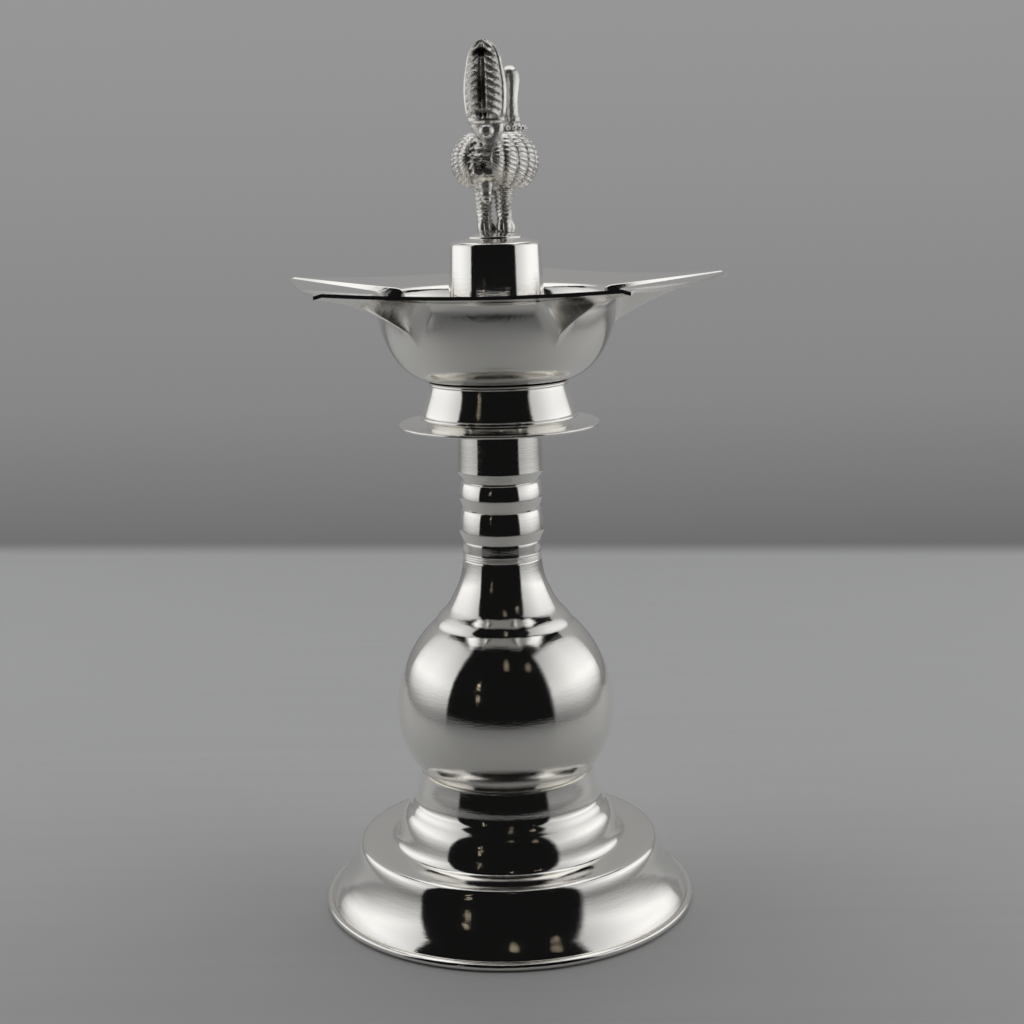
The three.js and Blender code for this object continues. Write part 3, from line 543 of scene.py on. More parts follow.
def foot_rim(sizes):
    """Round rim wire, a full circle with its lowest point on the ground."""
    wire = 0.9
    return arc(sizes.foot_radius / MM - wire, wire, wire, wire, 0, 360, 33)


def foot_shell(sizes):
    """Spun foot: a concave flare from the rounded edge of its flat plateau down to the rim."""
    hem = sizes.foot_radius / MM - 1.6
    edge = sizes.plateau_radius / MM - 1.3
    mouth = 20.5
    turns = [[0, 84], [0.5, 76], [0.95, 53], [1.2, 41], [2.1, 27.4], [2.9, 21.7], [4.15, 16.2], [5.7, 21.3],
             [8.25, 26.7], [11.5, 35.5], [13.35, 39.9], [14.9, 37.1], [16.45, 33.1]]
    flare = leaning([edge, FOOT_TOP - 0.05], turns, [hem, 1.85])
    under = flare[3::4] - np.array([FOOT_SHEET, 0.4])
    return joined([[mouth, FOOT_TOP]], straight([mouth + 0.1, FOOT_TOP], [edge - 0.8, FOOT_TOP], 8), flare,
                  [[hem - 0.1, 0.5], [hem - 1.0, 0.4]], under[::-1][:-1],
                  [[edge - 0.6, FOOT_TOP - FOOT_SHEET], [mouth, FOOT_TOP - FOOT_SHEET]])


def stepped_collar(sizes):
    """Coned wall under the globe, then two soft steps that spread to the plateau."""
    top = sizes.collar_radius / MM
    foot = top + 7.5
    turns = [[0, 8.7], [0.3, 9.3], [0.55, 11.5], [2.4, 13.9], [3.8, 13], [4.45, 10.8], [5.2, 8.1],
             [5.9, 9], [6.25, 11.8], [6.8, 19.3], [7.25, 27], [7.7, 38], [7.95, 43], [8.3, 38.6],
             [8.55, 35.7], [8.9, 35.8], [9.25, 39], [9.65, 44.5], [10.15, 45], [10.45, 41.6],
             [11.2, 36.5], [12.8, 25.7], [14.05, 20.3], [15.05, 17.2], [16.1, 20], [16.85, 25],
             [17.9, 36], [18.25, 40.4], [18.6, 46.8], [18.85, 57], [19.3, 74]]
    face = leaning([top, COLLAR_TOP], turns, [foot + 0.4, FOOT_TOP - 0.02], soft=0.3)
    inside = face[::6] - np.array([COLLAR_WALL, 0.0])
    return joined(face, inside[::-1])


# Stem


def globe(sizes):
    """Ball of two half ellipses of one radius, 24.3 mm down and 27.5 mm up from its widest."""
    radius = sizes.globe_radius / MM
    down, up = 24.3, 27.5
    seat, mouth = 20.3, 16.9
    spigot = sizes.collar_radius / MM - COLLAR_WALL - 0.2
    middle = COLLAR_TOP + down * math.sqrt(1 - (seat / radius) ** 2)
    seat_angle = math.degrees(math.acos(seat / radius))
    mouth_angle = math.degrees(math.acos(mouth / radius))
    inside = radius - GLOBE_SHEET
    return joined(arc(0, middle, radius, down, -seat_angle, 0, 40),
                  arc(0, middle, radius, up, 0, mouth_angle, 48),
                  arc(0, middle, inside, up - GLOBE_SHEET, mouth_angle - 2, 0, 20),
                  arc(0, middle, inside, down - GLOBE_SHEET, 0, -seat_angle, 20),
                  [[spigot - GLOBE_SHEET, COLLAR_TOP], [spigot - GLOBE_SHEET, COLLAR_TOP - 3.4],
                   [spigot, COLLAR_TOP - 3.4], [spigot, COLLAR_TOP]])


def neck_flare():
    """Concave cone from the neck down to a soft hip above the ball's mouth."""
    mouth, waist = 16.9, 9.35
    turns = [[0, 4], [2.5, 8], [4.5, 14], [6, 20.5], [7.5, 23.5], [9.5, 27], [11.7, 31], [12.2, 34],
             [12.9, 41], [14, 45], [15, 41], [16, 33], [16.6, 30], [17.1, 34], [17.5, 43]]
    face = leaning([waist, FLARE_TOP], turns, [mouth, GLOBE_TOP])
    return joined(face, [[mouth - 3.2, GLOBE_TOP], [CORE_RADIUS, GLOBE_TOP + 7], [CORE_RADIUS, FLARE_TOP]])


def neck_ring(top, bottom, turns, radii):
    """A ring on the neck's core: its face from the top down, by lengths and leans, between radii."""
    face = leaning([radii[0], top], turns, [radii[1], bottom], soft=0.25, step=0.08)
    return joined(face, [[CORE_RADIUS, bottom], [CORE_RADIUS, top]])


def neck_band():
    """Short band with three fine raised lines near its foot."""
    radius = 9.3
    rise = [0, 0.35, 0.6, 0.9, 1.15, 1.45, 1.7, 2.1, 4.2, 4.45, BAND_TOP - FLARE_TOP]
    proud = [0, -0.12, 0.08, -0.12, 0.08, -0.12, 0.04, -0.06, -0.1, -0.22, -0.25]
    wave = through([[radius + out, FLARE_TOP + up] for up, out in zip(rise, proud)], 5)
    return joined(wave, [[CORE_RADIUS, BAND_TOP], [CORE_RADIUS, FLARE_TOP]])


# Bowl and what hangs under it


def drip_pan(sizes):
    """Thin dish that rises a little to a rounded edge."""
    hole, flat, seat = 7.2, 15.0, 17.5
    round_edge = PAN_SHEET / 2
    edge = sizes.pan_radius / MM - round_edge
    under = SLEEVE_TOP + 0.6
    return joined([[hole, SLEEVE_TOP], [flat, SLEEVE_TOP]],
                  straight([flat + 1, SLEEVE_TOP], [edge, under], 8),
                  arc(edge, under + round_edge, round_edge, round_edge, -80, 80, 9),
                  straight([edge, under + PAN_SHEET], [seat, SKIRT_BOTTOM], 8),
                  [[hole, SKIRT_BOTTOM]])


def skirt(sizes):
    """Cone under the bowl, a little hollow, with a bead round its foot and a fillet at its top."""
    bead = SKIRT_BOTTOM + 2.1
    fillet = [[16.35, BOWL_BOTTOM - 1.3], [16.3, BOWL_BOTTOM - 0.95], [16.55, BOWL_BOTTOM - 0.7],
              [16.5, BOWL_BOTTOM - 0.4], [16.9, BOWL_BOTTOM - 0.1]]
    return joined([[16.9, SKIRT_BOTTOM], [17.2, bead - 1.0]],
                  arc(17.95, bead, 0.65, 0.65, -70, 62, 14),
                  bend([18.25, bead + 0.75], [17.7, bead + 3.0], [16.75, bead + 5.4],
                       [16.35, BOWL_BOTTOM - 1.35], 28),
                  through(fillet, 5),
                  [[16.6, BOWL_BOTTOM], [15.0, BOWL_BOTTOM], [15.0, bead], [15.7, SKIRT_BOTTOM]])


def bowl_surface(sizes, sheet, across, side, columns):
    """One face of the bowl's sheet on a grid, as points in millimetres.

    across runs from 0 on a spout's keel, through 1 at the channel's crease, to 2 halfway to the
    next spout. From the hole the face follows a quarter ellipse up the cup, a short quadratic
    bend, and then a straight line out to the pentagon's edge, lowered in the channel by a V whose
    depth falls with the square of the way still to go.
    """
    rim = sizes.bowl_radius / MM
    tip = sizes.spout_reach / MM
    depth = high_mm("bowl")[2] - FLANGE_RISE - BOWL_BOTTOM
    rim_height = BOWL_BOTTOM + depth
    hole_radius, floor_radius = 3.3, 15.0
    half = np.pi / SPOUTS
    waist = tip * math.cos(half)
    lift = BOWL_SHEET - sheet
    keel_top = math.sqrt(1 + KEEL_ROUND ** 2) - KEEL_ROUND

    def cup_radius(height):
        drop = np.clip((rim_height - height) / (depth - sheet), 0, 1)
        return floor_radius + (rim - floor_radius - sheet) * np.sqrt(1 - drop ** 2)

    def flange(out):
        inner = np.minimum(across, 1)
        width = (CHANNEL_ROOT_WIDTH * (1 - out) + CHANNEL_TIP_WIDTH * out) / 2
        reach = rim * (1 - out) + tip * out
        crease = np.arcsin(width / reach)
        keel = (np.sqrt(inner ** 2 + KEEL_ROUND ** 2) - KEEL_ROUND) / keel_top
        depth_here = CHANNEL_TIP_DEPTH + (CHANNEL_ROOT_DEPTH - CHANNEL_TIP_DEPTH) * (1 - out) ** 2
        beyond = crease + (half - crease) * (across - 1)
        angle = np.where(across < 1, np.arctan(inner * width / reach), beyond)
        root = rim_height - (1 - keel) * CHANNEL_ROOT_DEPTH
        start = cup_radius(root - lift)
        radius = start + (waist / np.cos(half - angle) - start) * out
        plane = rim_height + FLANGE_RISE * (radius - rim) / (tip - rim)
        height = plane - (1 - keel) * depth_here - lift
        return grid_of(angle, radius, height)

    across = across[:, None]
    cup_share, bend_share, out_share = columns
    bend_out = BOWL_BEND / (tip - rim)
    corner = flange(np.array([[0.0]]))
    after = flange(np.array([[bend_out]]))
    floor = BOWL_BOTTOM + sheet
    cup_top = corner[..., 2] - BOWL_BEND
    height = floor + (cup_top - floor) * cup_share[None, :] ** 1.7
    cup = grid_of(corner[..., 0], cup_radius(height), height)
    t = bend_share[None, :, None]
    turn = (1 - t) ** 2 * cup[:, -1:] + 2 * t * (1 - t) * corner + t ** 2 * after
    rest = flange(bend_out + (1 - bend_out) * out_share[None, :])
    hole = grid_of(cup[:, :1, 0], hole_radius, floor)
    return np.concatenate([hole, cup, turn, rest], 1) * np.array([side, 1, 1])


def bowl(sizes):
    """Rows of the bowl's closed section at every bearing, all round, as one grid of points."""
    ease = (1 - np.cos(np.linspace(0, np.pi, 15))) / 2
    channel = np.concatenate([[0, 0.02, 0.05, 0.1, 0.18], np.linspace(0.28, 0.93, 8), [0.97, 0.99, 1.0]])
    half_rows = np.concatenate([channel, 1 + ease[1:]])
    columns = (np.linspace(0, 1, 22), np.linspace(0, 1, 9)[1:], np.linspace(0, 1, 26)[1:])
    sections = []
    for spout in range(SPOUTS):
        bearing = math.radians(SPOUT_BEARING + 360 / SPOUTS * spout)
        for side, across in ((-1, half_rows[::-1][1:]), (1, half_rows[1:])):
            top = bowl_surface(sizes, BOWL_SHEET, across, side, columns)
            under = bowl_surface(sizes, 0.0, across, side, columns)
            loop = np.concatenate([top, under[:, ::-1]], 1)
            loop[..., 0] += bearing
            sections.append(loop)
    loops = np.concatenate(sections)
    angle, radius, height = coordinates(loops)
    points = about_axis(radius, angle, height)
    return points, about_axis(radius, angle, lengths(points))


# Lid


def lid_post():
    """Seat and post on the bowl's floor, under the cap."""
    post_top = high_mm("lid_post")[2]
    floor = BOWL_BOTTOM + BOWL_SHEET
    seat = reach_mm("lid_post")
    tenon, tenon_foot = 3.1, floor - 1.8
    return joined([[0, tenon_foot], [tenon, tenon_foot], [tenon, floor]],
                  straight([tenon, floor], [seat - 0.3, floor], 4),
                  arc(seat - 0.4, floor + 0.7, 0.4, 0.7, -60, 60, 8),
                  [[10.5, CAP_FOOT], [9.6, post_top - 0.8]],
                  arc(8.8, post_top - 0.8, 0.8, 0.8, 0, 90, 8), [[0, post_top]])


def lid_cap(sizes):
    """Tapered cap with a rounded shoulder that slopes up to the perch."""
    foot = sizes.cap_radius / MM
    top = foot - 1.1
    shoulder = CAP_TOP - 0.6
    round_edge = 0.95
    return joined([[foot - CAP_WALL, CAP_FOOT], [foot - 0.1, CAP_FOOT]],
                  straight([foot, CAP_FOOT + 0.1], [top, shoulder], 24),
                  arc(top - round_edge, shoulder, round_edge, round_edge, 4, 72, 16),
                  bend([top - 0.75, shoulder + 0.93], [top - 1.3, shoulder + 1.1],
                       [7.4, CAP_TOP + 0.95], [6.3, CAP_TOP + 1.2], 14),
                  [[SCREW_HOLE, CAP_TOP + 1.2], [SCREW_HOLE, CAP_TOP - CAP_WALL],
                   [top - 4, CAP_TOP - CAP_WALL], [top - CAP_WALL, shoulder - CAP_WALL]])


def perch():
    """Low dome that carries the bird."""
    edge = CAP_TOP + 1.3
    return joined([[0.0, CAP_TOP], [SCREW_HOLE, CAP_TOP]],
                  straight([SCREW_HOLE, CAP_TOP + 0.1], [6.2, edge - 0.25], 4),
                  arc(6.2, edge, 0.2, 0.22, -60, 60, 6),
                  bend([6.15, edge + 0.24], [5.2, edge + 0.5],
                       [4.8, PERCH_TOP - 0.15], [2.8, PERCH_TOP], 16),
                  [[0.0, PERCH_TOP]])


# Bird: X to its right, Y forwards, heights from the top of the perch


BIRD_TURN = -16.0
BODY_HEIGHT = 16.0
BODY_HALF = (8.4, 11.6, 6.9)
CHEST_SWELL = 0.12
TAIL_BACK = 8.2
TAIL_TOP = 42.1
NECK_FORWARD = 9.6
HEAD_TOP = 37.6
NECKLACE_HEIGHT = 23.4
HEAD_ASIDE = 1.4
TAIL_ASIDE = 1.05
RUMP_ASIDE = 1.9
LEG_ASIDE = 2.3
BODY_LAPS = 13
WING_START = 20
WING_SPAN = 130
WING_ROPES = 6.5
WING_BARBS = 13
TAIL_BARBS = 17
BEADS = 16
BEAD_RADIUS = 0.68
NECKLACE_RADIUS = 3.45
NECKLACE_FORWARD = 9.2
KNOB_RADIUS = 1.75
KNOB_DEPTH = 1.6
KNOB_HEIGHT = 22.4


def ridge(wave):
    """A rounded ridge for each whole number of the wave: 1 on its crest and 0 in its groove."""
    return np.sqrt(np.abs(np.sin(np.pi * wave)))


def lapped(wave):
    """A lap feather for each whole number of the wave: it rises quickly from 0 to 1 at its tip
    and falls evenly to its root, so that it faces upwards."""
    part = wave % 1
    return np.minimum(part / 0.2, (1 - part) / 0.8)


def eased(value, low, high):
    """0 below low, 1 above high, and a smooth cubic between."""
    t = np.clip((value - low) / (high - low), 0, 1)
    return t * t * (3 - 2 * t)


def cast_piece(name, points, hollow, node, closed_ends=True, aside=0.0):
    """A cast piece of the bird from a grid of closed rows, moved aside to the bird's right.
    hollow is 0 on ridges and 1 in grooves."""
    cos, sin = math.cos(math.radians(BIRD_TURN)), math.sin(math.radians(BIRD_TURN))
    x, y, z = coordinates(points)
    x = x + aside
    placed = grid_of(x * cos - y * sin, x * sin + y * cos, z + PERCH_TOP)
    marks = np.stack([np.broadcast_to(hollow, x.shape)] * 3, -1)
    ends = [(0, placed[0].mean(0)), (len(x) - 1, placed[-1].mean(0))] if closed_ends else []
    grid, marks, extra = with_poles(placed, marks, ends)
    faces = grid_faces(*x.shape, not closed_ends)
    add_piece(name, grid, faces, "lid", "cast_silver", node, marks, extra, sharp=60)


def limb(stations, sides, per_span, relief=None):
    """An upright limb: level ellipses through stations of forward, height, half width and half
    depth. relief gives how far each point stands out, from its angle and its share of the way up;
    an angle of 0 is the limb's back. Returns the grid and how hollow each point is."""
    path = through(stations, per_span)[:, None, :]
    angle = full_turn(sides)
    share = (path[..., 1] - path[0, 0, 1]) / (path[-1, 0, 1] - path[0, 0, 1])
    plain = np.zeros((len(path), sides))
    out, hollow = relief(angle, share) if relief else (plain, plain)
    width = np.maximum(path[..., 2] + out, 0.05)
    depth = np.maximum(path[..., 3] + out, 0.05)
    return grid_of(width * np.sin(angle), path[..., 0] - depth * np.cos(angle), path[..., 1]), hollow


def on_body(direction, grow):
    """Points of the body's egg in given directions, grown outwards."""
    x, y, z = coordinates(direction)
    swell = 1 + CHEST_SWELL * y
    return grid_of(x * swell * (BODY_HALF[0] + grow), y * (BODY_HALF[1] + grow),
                   z * swell * (BODY_HALF[2] + grow) + BODY_HEIGHT)


def bird_body():
    """Egg whose chest is fuller than its rump, with a hollow under the tail. Small lap feathers
    stand in rows round it, each pushed half a feather along, and in level rows on its back."""
    pole = 0.03
    tilt, angle = np.linspace(pole, np.pi - pole, 150)[:, None], full_turn(144)
    direction = grid_of(np.sin(tilt) * np.sin(angle), -np.cos(tilt), np.sin(tilt) * np.cos(angle))
    x, y, z = coordinates(direction)
    rows = tilt * 5.2
    lap = ridge(angle * BODY_LAPS / np.pi + 0.5 * np.floor(rows)) * (rows % 1)
    rump = np.exp(-(((x - 0.1) / 0.24) ** 2 + ((z + 0.2) / 0.19) ** 2)) * eased(-y, 0.2, 0.6)
    back = eased(-y, 0.5, 0.75)
    level = lapped(z * 4.5 + 0.4 * ridge((x - 0.1) * 3.5))
    grow = 0.28 * (lap - 0.6) * (1 - back) + 0.75 * (level - 0.5) * back * (1 - rump) - 1.6 * rump
    return on_body(direction, grow), (1 - lap) * 0.3 * (1 - back) + 1.1 * rump


def bird_wing(side):
    """A folded wing: a shell on the egg's side that starts near the back. Rope-like rows run
    down it as meridians, each of slanted barbs, and it thins towards its edges."""
    outside = np.linspace(0, 1, 90)
    up = np.concatenate([outside, [0.93, 0.7, 0.5, 0.3, 0.07]])[None, :]
    face = np.concatenate([np.ones(90), np.zeros(5)])[None, :]
    share = np.linspace(0, 1, 120)[:, None]
    phi = np.radians(WING_START + WING_SPAN * share)
    fullness = np.sqrt(np.clip(1 - np.abs(2 * share - 1) ** 7, 0.03, 1))
    rise = np.radians(4 + 58 * (2 * up - 1) * fullness)
    direction = grid_of(side * np.cos(rise) * np.sin(phi), -np.cos(rise) * np.cos(phi), np.sin(rise))
    band = share * WING_ROPES
    rope = ridge(band)
    barbs = ridge(up * WING_BARBS + band * 0.9 + 0.5 * np.floor(band))
    height = rope * (0.5 + 0.5 * barbs)
    edge = np.sqrt(np.clip(1 - np.abs(2 * up - 1) ** 6, 0, 1)) * fullness
    grow = face * (1.15 * edge + 0.8 * (height - 0.6) * edge) - (1 - face) * 0.6
    return on_body(direction, np.minimum(grow, 1.75)), face * (1 - height) * 0.45


def tail_relief(angle, share):
    """Relief of the tail's back: barbs in a herringbone on both sides of a grooved spine, a
    hooded hollow at the top, a long hollow and two notches in the middle, a collar below."""
    across = np.sin(angle) * np.ones_like(share)
    away = np.abs(across)
    back = eased(np.cos(angle), -0.1, 0.35)
    leaf = eased(share, 0.375, 0.42)
    barb = lapped(share * TAIL_BARBS + 1.6 * away) * eased(away, 0.12, 0.24) * (1 - eased(away, 0.3, 0.94))
    spine = np.exp(-(across / 0.045) ** 2) * (1 - eased(share, 0.93, 0.97))
    groove = np.exp(-((away - 0.12) / 0.06) ** 2)
    hood = np.exp(-((share - 0.9) / 0.035) ** 4 - (across / 0.5) ** 4)
    pit = np.exp(-((share - 0.61) / 0.1) ** 4 - (across / 0.12) ** 2)
    notch = np.exp(-((share - 0.42) / 0.022) ** 2 - ((away - 0.16) / 0.1) ** 2)
    rim = eased(away, 0.88, 0.96)
    collar = np.exp(-((share - 0.37) / 0.014) ** 2)
    raised = 1.15 * barb + 0.5 * spine - 0.25 * groove - 0.8 * hood - 0.3 * pit - 0.6 * notch
    out = leaf * back * raised
    hollow = leaf * back * np.clip(0.5 - barb - spine - rim, 0, 1) * 0.5
    hollow = hollow + leaf * back * (hood + pit + notch)
    return out + leaf * 0.2 * rim + 0.3 * collar, np.clip(hollow, 0, 1)


def bird_tail():
    """Upright plume on a cone that grows from the rump."""
    bottom = BODY_HEIGHT - 1.5
    height = TAIL_TOP - bottom
    plume = [[0, 1.0, 1.0, -1], [0.115, 1.2, 1.5, -0.6], [0.166, 1.6, 1.9, -0.3],
             [0.243, 2.9, 2.0, 0], [0.3, 3.65, 2.05, 0.1], [0.375, 4.05, 2.3, 0.2],
             [0.44, 4.45, 2.7, 0.3], [0.555, 4.75, 2.9, 0.4], [0.68, 4.65, 2.8, 0.5],
             [0.81, 4.0, 2.5, 0.6], [0.877, 3.6, 2.3, 0.7], [0.942, 2.65, 1.9, 0.8],
             [0.98, 1.5, 1.1, 0.9], [1, 0.5, 0.5, 1]]
    stations = [[-TAIL_BACK - lean * 1.2, bottom + rise * height, width, depth]
                for rise, width, depth, lean in plume]
    grid, hollow = limb(stations, 180, 18, tail_relief)
    share = (grid[:, :1, 2] - bottom) / height
    grid[..., 0] += TAIL_ASIDE + (RUMP_ASIDE - TAIL_ASIDE) * (1 - eased(share, 0.1, 0.4))
    return grid, hollow


def bird_neck():
    """Smooth neck that rises from a ruff of lumps to a rounded head."""
    root = NECKLACE_HEIGHT
    head = NECK_FORWARD + 0.6
    stations = [[7.2, BODY_HEIGHT + 1, 3.4, 3.7], [8.6, root - 2, 3.1, 3.3],
                [NECKLACE_FORWARD, root, 2.8, 2.8],
                [NECK_FORWARD, root + 2.2, 2.4, 2.35], [NECK_FORWARD, root + 4.5, 2.05, 2.0],
                [NECK_FORWARD + 0.1, HEAD_TOP - 7.0, 2.05, 2.0], [head, HEAD_TOP - 3.6, 2.45, 2.5],
                [head, HEAD_TOP - 1.3, 2.1, 2.1], [head, HEAD_TOP - 0.2, 1.1, 1.1],
                [head, HEAD_TOP + 0.1, 0.3, 0.3]]

    def ruff(angle, share):
        low = 1 - eased(share, 0.36, 0.5)
        lap = ridge(angle * 5 / np.pi + 0.5 * np.floor(share * 16)) * ((share * 16) % 1)
        return 0.35 * low * (lap - 0.4), low * (1 - lap) * 0.35

    return limb(stations, 64, 9, ruff)


def bird_leg():
    """Stout leg from its three toes on the perch, over the ankle, to the feathered thigh."""
    stations = [[1.5, 0.05, 2.0, 2.5], [1.4, 0.7, 2.1, 2.8], [1.0, 1.8, 2.0, 2.5], [0.5, 3.0, 1.8, 2.0],
                [0.2, 4.0, 1.8, 1.8], [0.0, 4.9, 1.9, 1.9], [0.0, 5.6, 1.85, 1.9], [0.0, 7.0, 1.95, 2.2],
                [0.0, 9.0, 2.2, 2.6], [0.0, 11.5, 2.7, 3.0]]

    def skin(angle, share):
        toes = 1 - eased(share, 0.12, 0.26)
        toe = ridge(angle * 3 / np.pi) * np.ones_like(share)
        thigh = eased(share, 0.38, 0.5)
        lap = lapped(share * 12 + 0.5 * ridge(angle * 3 / np.pi))
        return (0.4 * toes * (toe - 0.6) + (0.25 + 0.25 * thigh) * (1 - toes) * (lap - 0.5),
                0.5 * toes * (1 - toe) + 0.2 * thigh * (1 - lap))

    return limb(stations, 64, 12, skin)


def bird_under_tail():
    """Short drop between the thighs, with a collar near its foot."""
    stations = [[-6.2, 6.7, 0.3, 0.3], [-6.3, 7.2, 1.1, 0.9], [-6.4, 7.9, 1.2, 1.0],
                [-6.4, 8.3, 1.65, 1.35], [-6.5, 8.9, 1.3, 1.1], [-6.6, 10.5, 1.6, 1.4],
                [-6.8, 12.6, 1.8, 1.6]]
    return limb(stations, 40, 8)


def bird_beak():
    """Cone with a slightly arched ridge that points forwards from the head."""
    share = np.linspace(0, 1, 24)[:, None]
    angle = full_turn(32)
    length, root, tip = 4.7, 1.15, 0.06
    radius = root * (1 - share) ** 0.8 + tip
    drop = 0.6 * share ** 2
    return grid_of(radius * np.sin(angle), NECK_FORWARD + 2.4 + length * share,
                   HEAD_TOP - 3.4 - drop + radius * np.cos(angle))


def bird_necklace():
    """Ring of beads: a torus whose tube swells and shrinks as it goes round."""
    turn = full_turn(BEADS * 14).T
    angle = full_turn(16)
    bead = np.sqrt(np.clip(np.abs(np.sin(BEADS / 2 * turn)), 0.12, 1))
    radius = NECKLACE_RADIUS + BEAD_RADIUS * bead * np.cos(angle)
    grid = about_axis(radius, turn, NECKLACE_HEIGHT + BEAD_RADIUS * bead * np.sin(angle))
    return grid + np.array([0, NECKLACE_FORWARD, 0]), np.broadcast_to(1 - bead, grid.shape[:2])


def bird_knob():
    """Round knob on the back of the tail's cone, a little flat from front to back."""
    tilt = np.linspace(0.06, np.pi - 0.06, 24)[:, None]
    angle = full_turn(32)
    grid = grid_of(KNOB_RADIUS * np.sin(tilt) * np.cos(angle), KNOB_DEPTH * np.sin(tilt) * np.sin(angle),
                   KNOB_RADIUS * np.cos(tilt))
    return grid + np.array([RUMP_ASIDE, -TAIL_BACK - 3.2, KNOB_HEIGHT])


# Operators: one for each group of pieces and one for the studio


class LAMP_OT_foot(bpy.types.Operator):
    """Makes the foot's rim, shell and stepped collar."""

    bl_idname = "lamp.foot"
    bl_label = "Foot"

    def execute(self, context):
        sizes = context.scene.lamp_sizes
        turned("foot_rim", foot_rim(sizes), "foot", "foot_rim_wire")
        turned("foot_flare", foot_shell(sizes), "foot", "foot_shell")
        turned("collar", stepped_collar(sizes), "foot", "stepped_collar")
        brass_nodes("foot_bush")
        return {"FINISHED"}


class LAMP_OT_stem(bpy.types.Operator):
    """Makes the globe, the flare and the neck's rings."""

    bl_idname = "lamp.stem"
    bl_label = "Stem"

    def execute(self, context):
        sizes = context.scene.lamp_sizes
        lower = [[0, 45], [0.4, 45], [0.6, 18], [2.2, 13], [4.6, 8], [5.4, 4], [5.75, -10],
                 [6.1, -24], [8.2, -24]]
        upper = [[0, 45], [0.4, 45], [0.6, 20], [1.5, 15], [3, 10], [3.9, 5], [4.2, -8],
                 [4.5, -20], [6.8, -20]]
        sleeve = [[0, 0.5], [6, 0.8], [9, 2], [9.8, 3], [10.1, -15], [10.5, -39], [11.9, -39],
                  [12.3, -20], [12.7, 0]]
        turned("ball", globe(sizes), "stem", "globe")
        turned("flare", neck_flare(), "stem", "neck_flare")
        turned("grooved_band", neck_band(), "stem", "neck_band")
        for name, node, top, bottom, turns, radii in (
                ("lower_ring", "neck_ring_lower", LOWER_RING_TOP, BAND_TOP, lower, (9.0, 9.05)),
                ("upper_ring", "neck_ring_upper", UPPER_RING_TOP, LOWER_RING_TOP, upper, (8.95, 9.0)),
                ("sleeve", "neck_sleeve", SLEEVE_TOP, UPPER_RING_TOP, sleeve, (10.0, 8.95))):
            turned(name, neck_ring(top, bottom, turns, radii), "stem", node)
        brass_nodes("stem_stud", "neck_core", "neck_plug")
        return {"FINISHED"}


class LAMP_OT_head(bpy.types.Operator):
    """Makes the drip pan, the skirt, the bowl with its wick spouts, and the lid's post."""

    bl_idname = "lamp.head"
    bl_label = "Bowl"

    def execute(self, context):
        sizes = context.scene.lamp_sizes
        turned("pan", drip_pan(sizes), "head", "drip_pan")
        turned("bowl_skirt", skirt(sizes), "head", "skirt")
        turned("post", lid_post(), "head", "lid_post")
        points, marks = bowl(sizes)
        faces = grid_faces(*points.shape[:2], True)
        add_piece("spouted_bowl", points.reshape(-1, 3), faces, "head", "silver", "bowl", marks, sharp=40)
        brass_nodes("bowl_boss")
        return {"FINISHED"}


class LAMP_OT_lid(bpy.types.Operator):
    """Makes the cap, the perch and the bird on it."""

    bl_idname = "lamp.lid"
    bl_label = "Lid"

    def execute(self, context):
        sizes = context.scene.lamp_sizes
        turned("cap", lid_cap(sizes), "lid", "lid_cap")
        turned("perch_dome", perch(), "lid", "perch")
        brass_nodes("lid_screw")
        cast_piece("bird_egg", *bird_body(), "bird_body")
        for side, word in ((-1, "left"), (1, "right")):
            cast_piece("wing_" + word, *bird_wing(side), "bird_wing_" + word, False)
            cast_piece("leg_" + word, *bird_leg(), "bird_leg_" + word, aside=side * LEG_ASIDE)
        cast_piece("plume", *bird_tail(), "bird_tail")
        cast_piece("tail_knob", bird_knob(), 0.1, "bird_tail_boss")
        cast_piece("tail_drop", *bird_under_tail(), "bird_under_tail")
        cast_piece("neck_and_head", *bird_neck(), "bird_neck", aside=HEAD_ASIDE)
        cast_piece("beak", bird_beak(), 0.0, "bird_beak", aside=HEAD_ASIDE)
        cast_piece("bead_ring", *bird_necklace(), "bird_necklace", False, HEAD_ASIDE)
        return {"FINISHED"}


# Studio: sizes in millimetres about the lamp's axis, bearings in degrees from the front to +X


# Light walls: the bearing that each faces the lamp from, the bearings of its ends, and its top
WALLS = {"left": (-65, -61.5, -135, 484), "right": (61, 50, 133, 462)}
WALL_AWAY = 300.0
WALL_LEVELS = [(0.0, 0.2), (0.08, 0.3), (0.2, 0.68), (0.32, 1.0), (0.45, 0.88), (0.7, 0.7), (1.0, 0.55)]
OVERHEAD_HEIGHT = 720
BACKDROP_AWAY = 700
TABLE_FRONT = -390.0
TABLE_HALF = 1300
TABLE_ROW = 541
TABLE_SOFT = 36.0
PICTURE = 1024
LAMP_SPOTS = ((2.9, 50.3), (34.7, 44), (-31.6, 27.1), (-29.5, 16.7))


def glow(name, strength, levels, top):
    """A material that gives light and isn't lit. Its brightness follows levels, given as pairs of
    share of the height top in millimetres and level, and it fades towards the front and the back."""
    material, tree, shader = new_material(name, "ShaderNodeEmission")
    _, y, z = split(tree, object_place(tree))
    level = Maths(tree, ramp(tree, z, 0.0, top * MM, levels))
    fade = [(0.0, 0.6), (0.06, 0.68), (0.18, 0.92), (0.26, 1.0), (0.55, 1.0), (0.75, 0.86), (1.0, 0.65)]
    feed(tree, shader, {"Color": ramp(tree, y, -0.2, 0.66, fade), "Strength": level * strength})
    return material


def staged(name, corners, material):
    """A flat piece of the studio with four corners in millimetres about the lamp's axis."""
    piece = linked(name, placed_mesh(name, np.array(corners, float), [(0, 1, 2, 3)], material))
    return piece


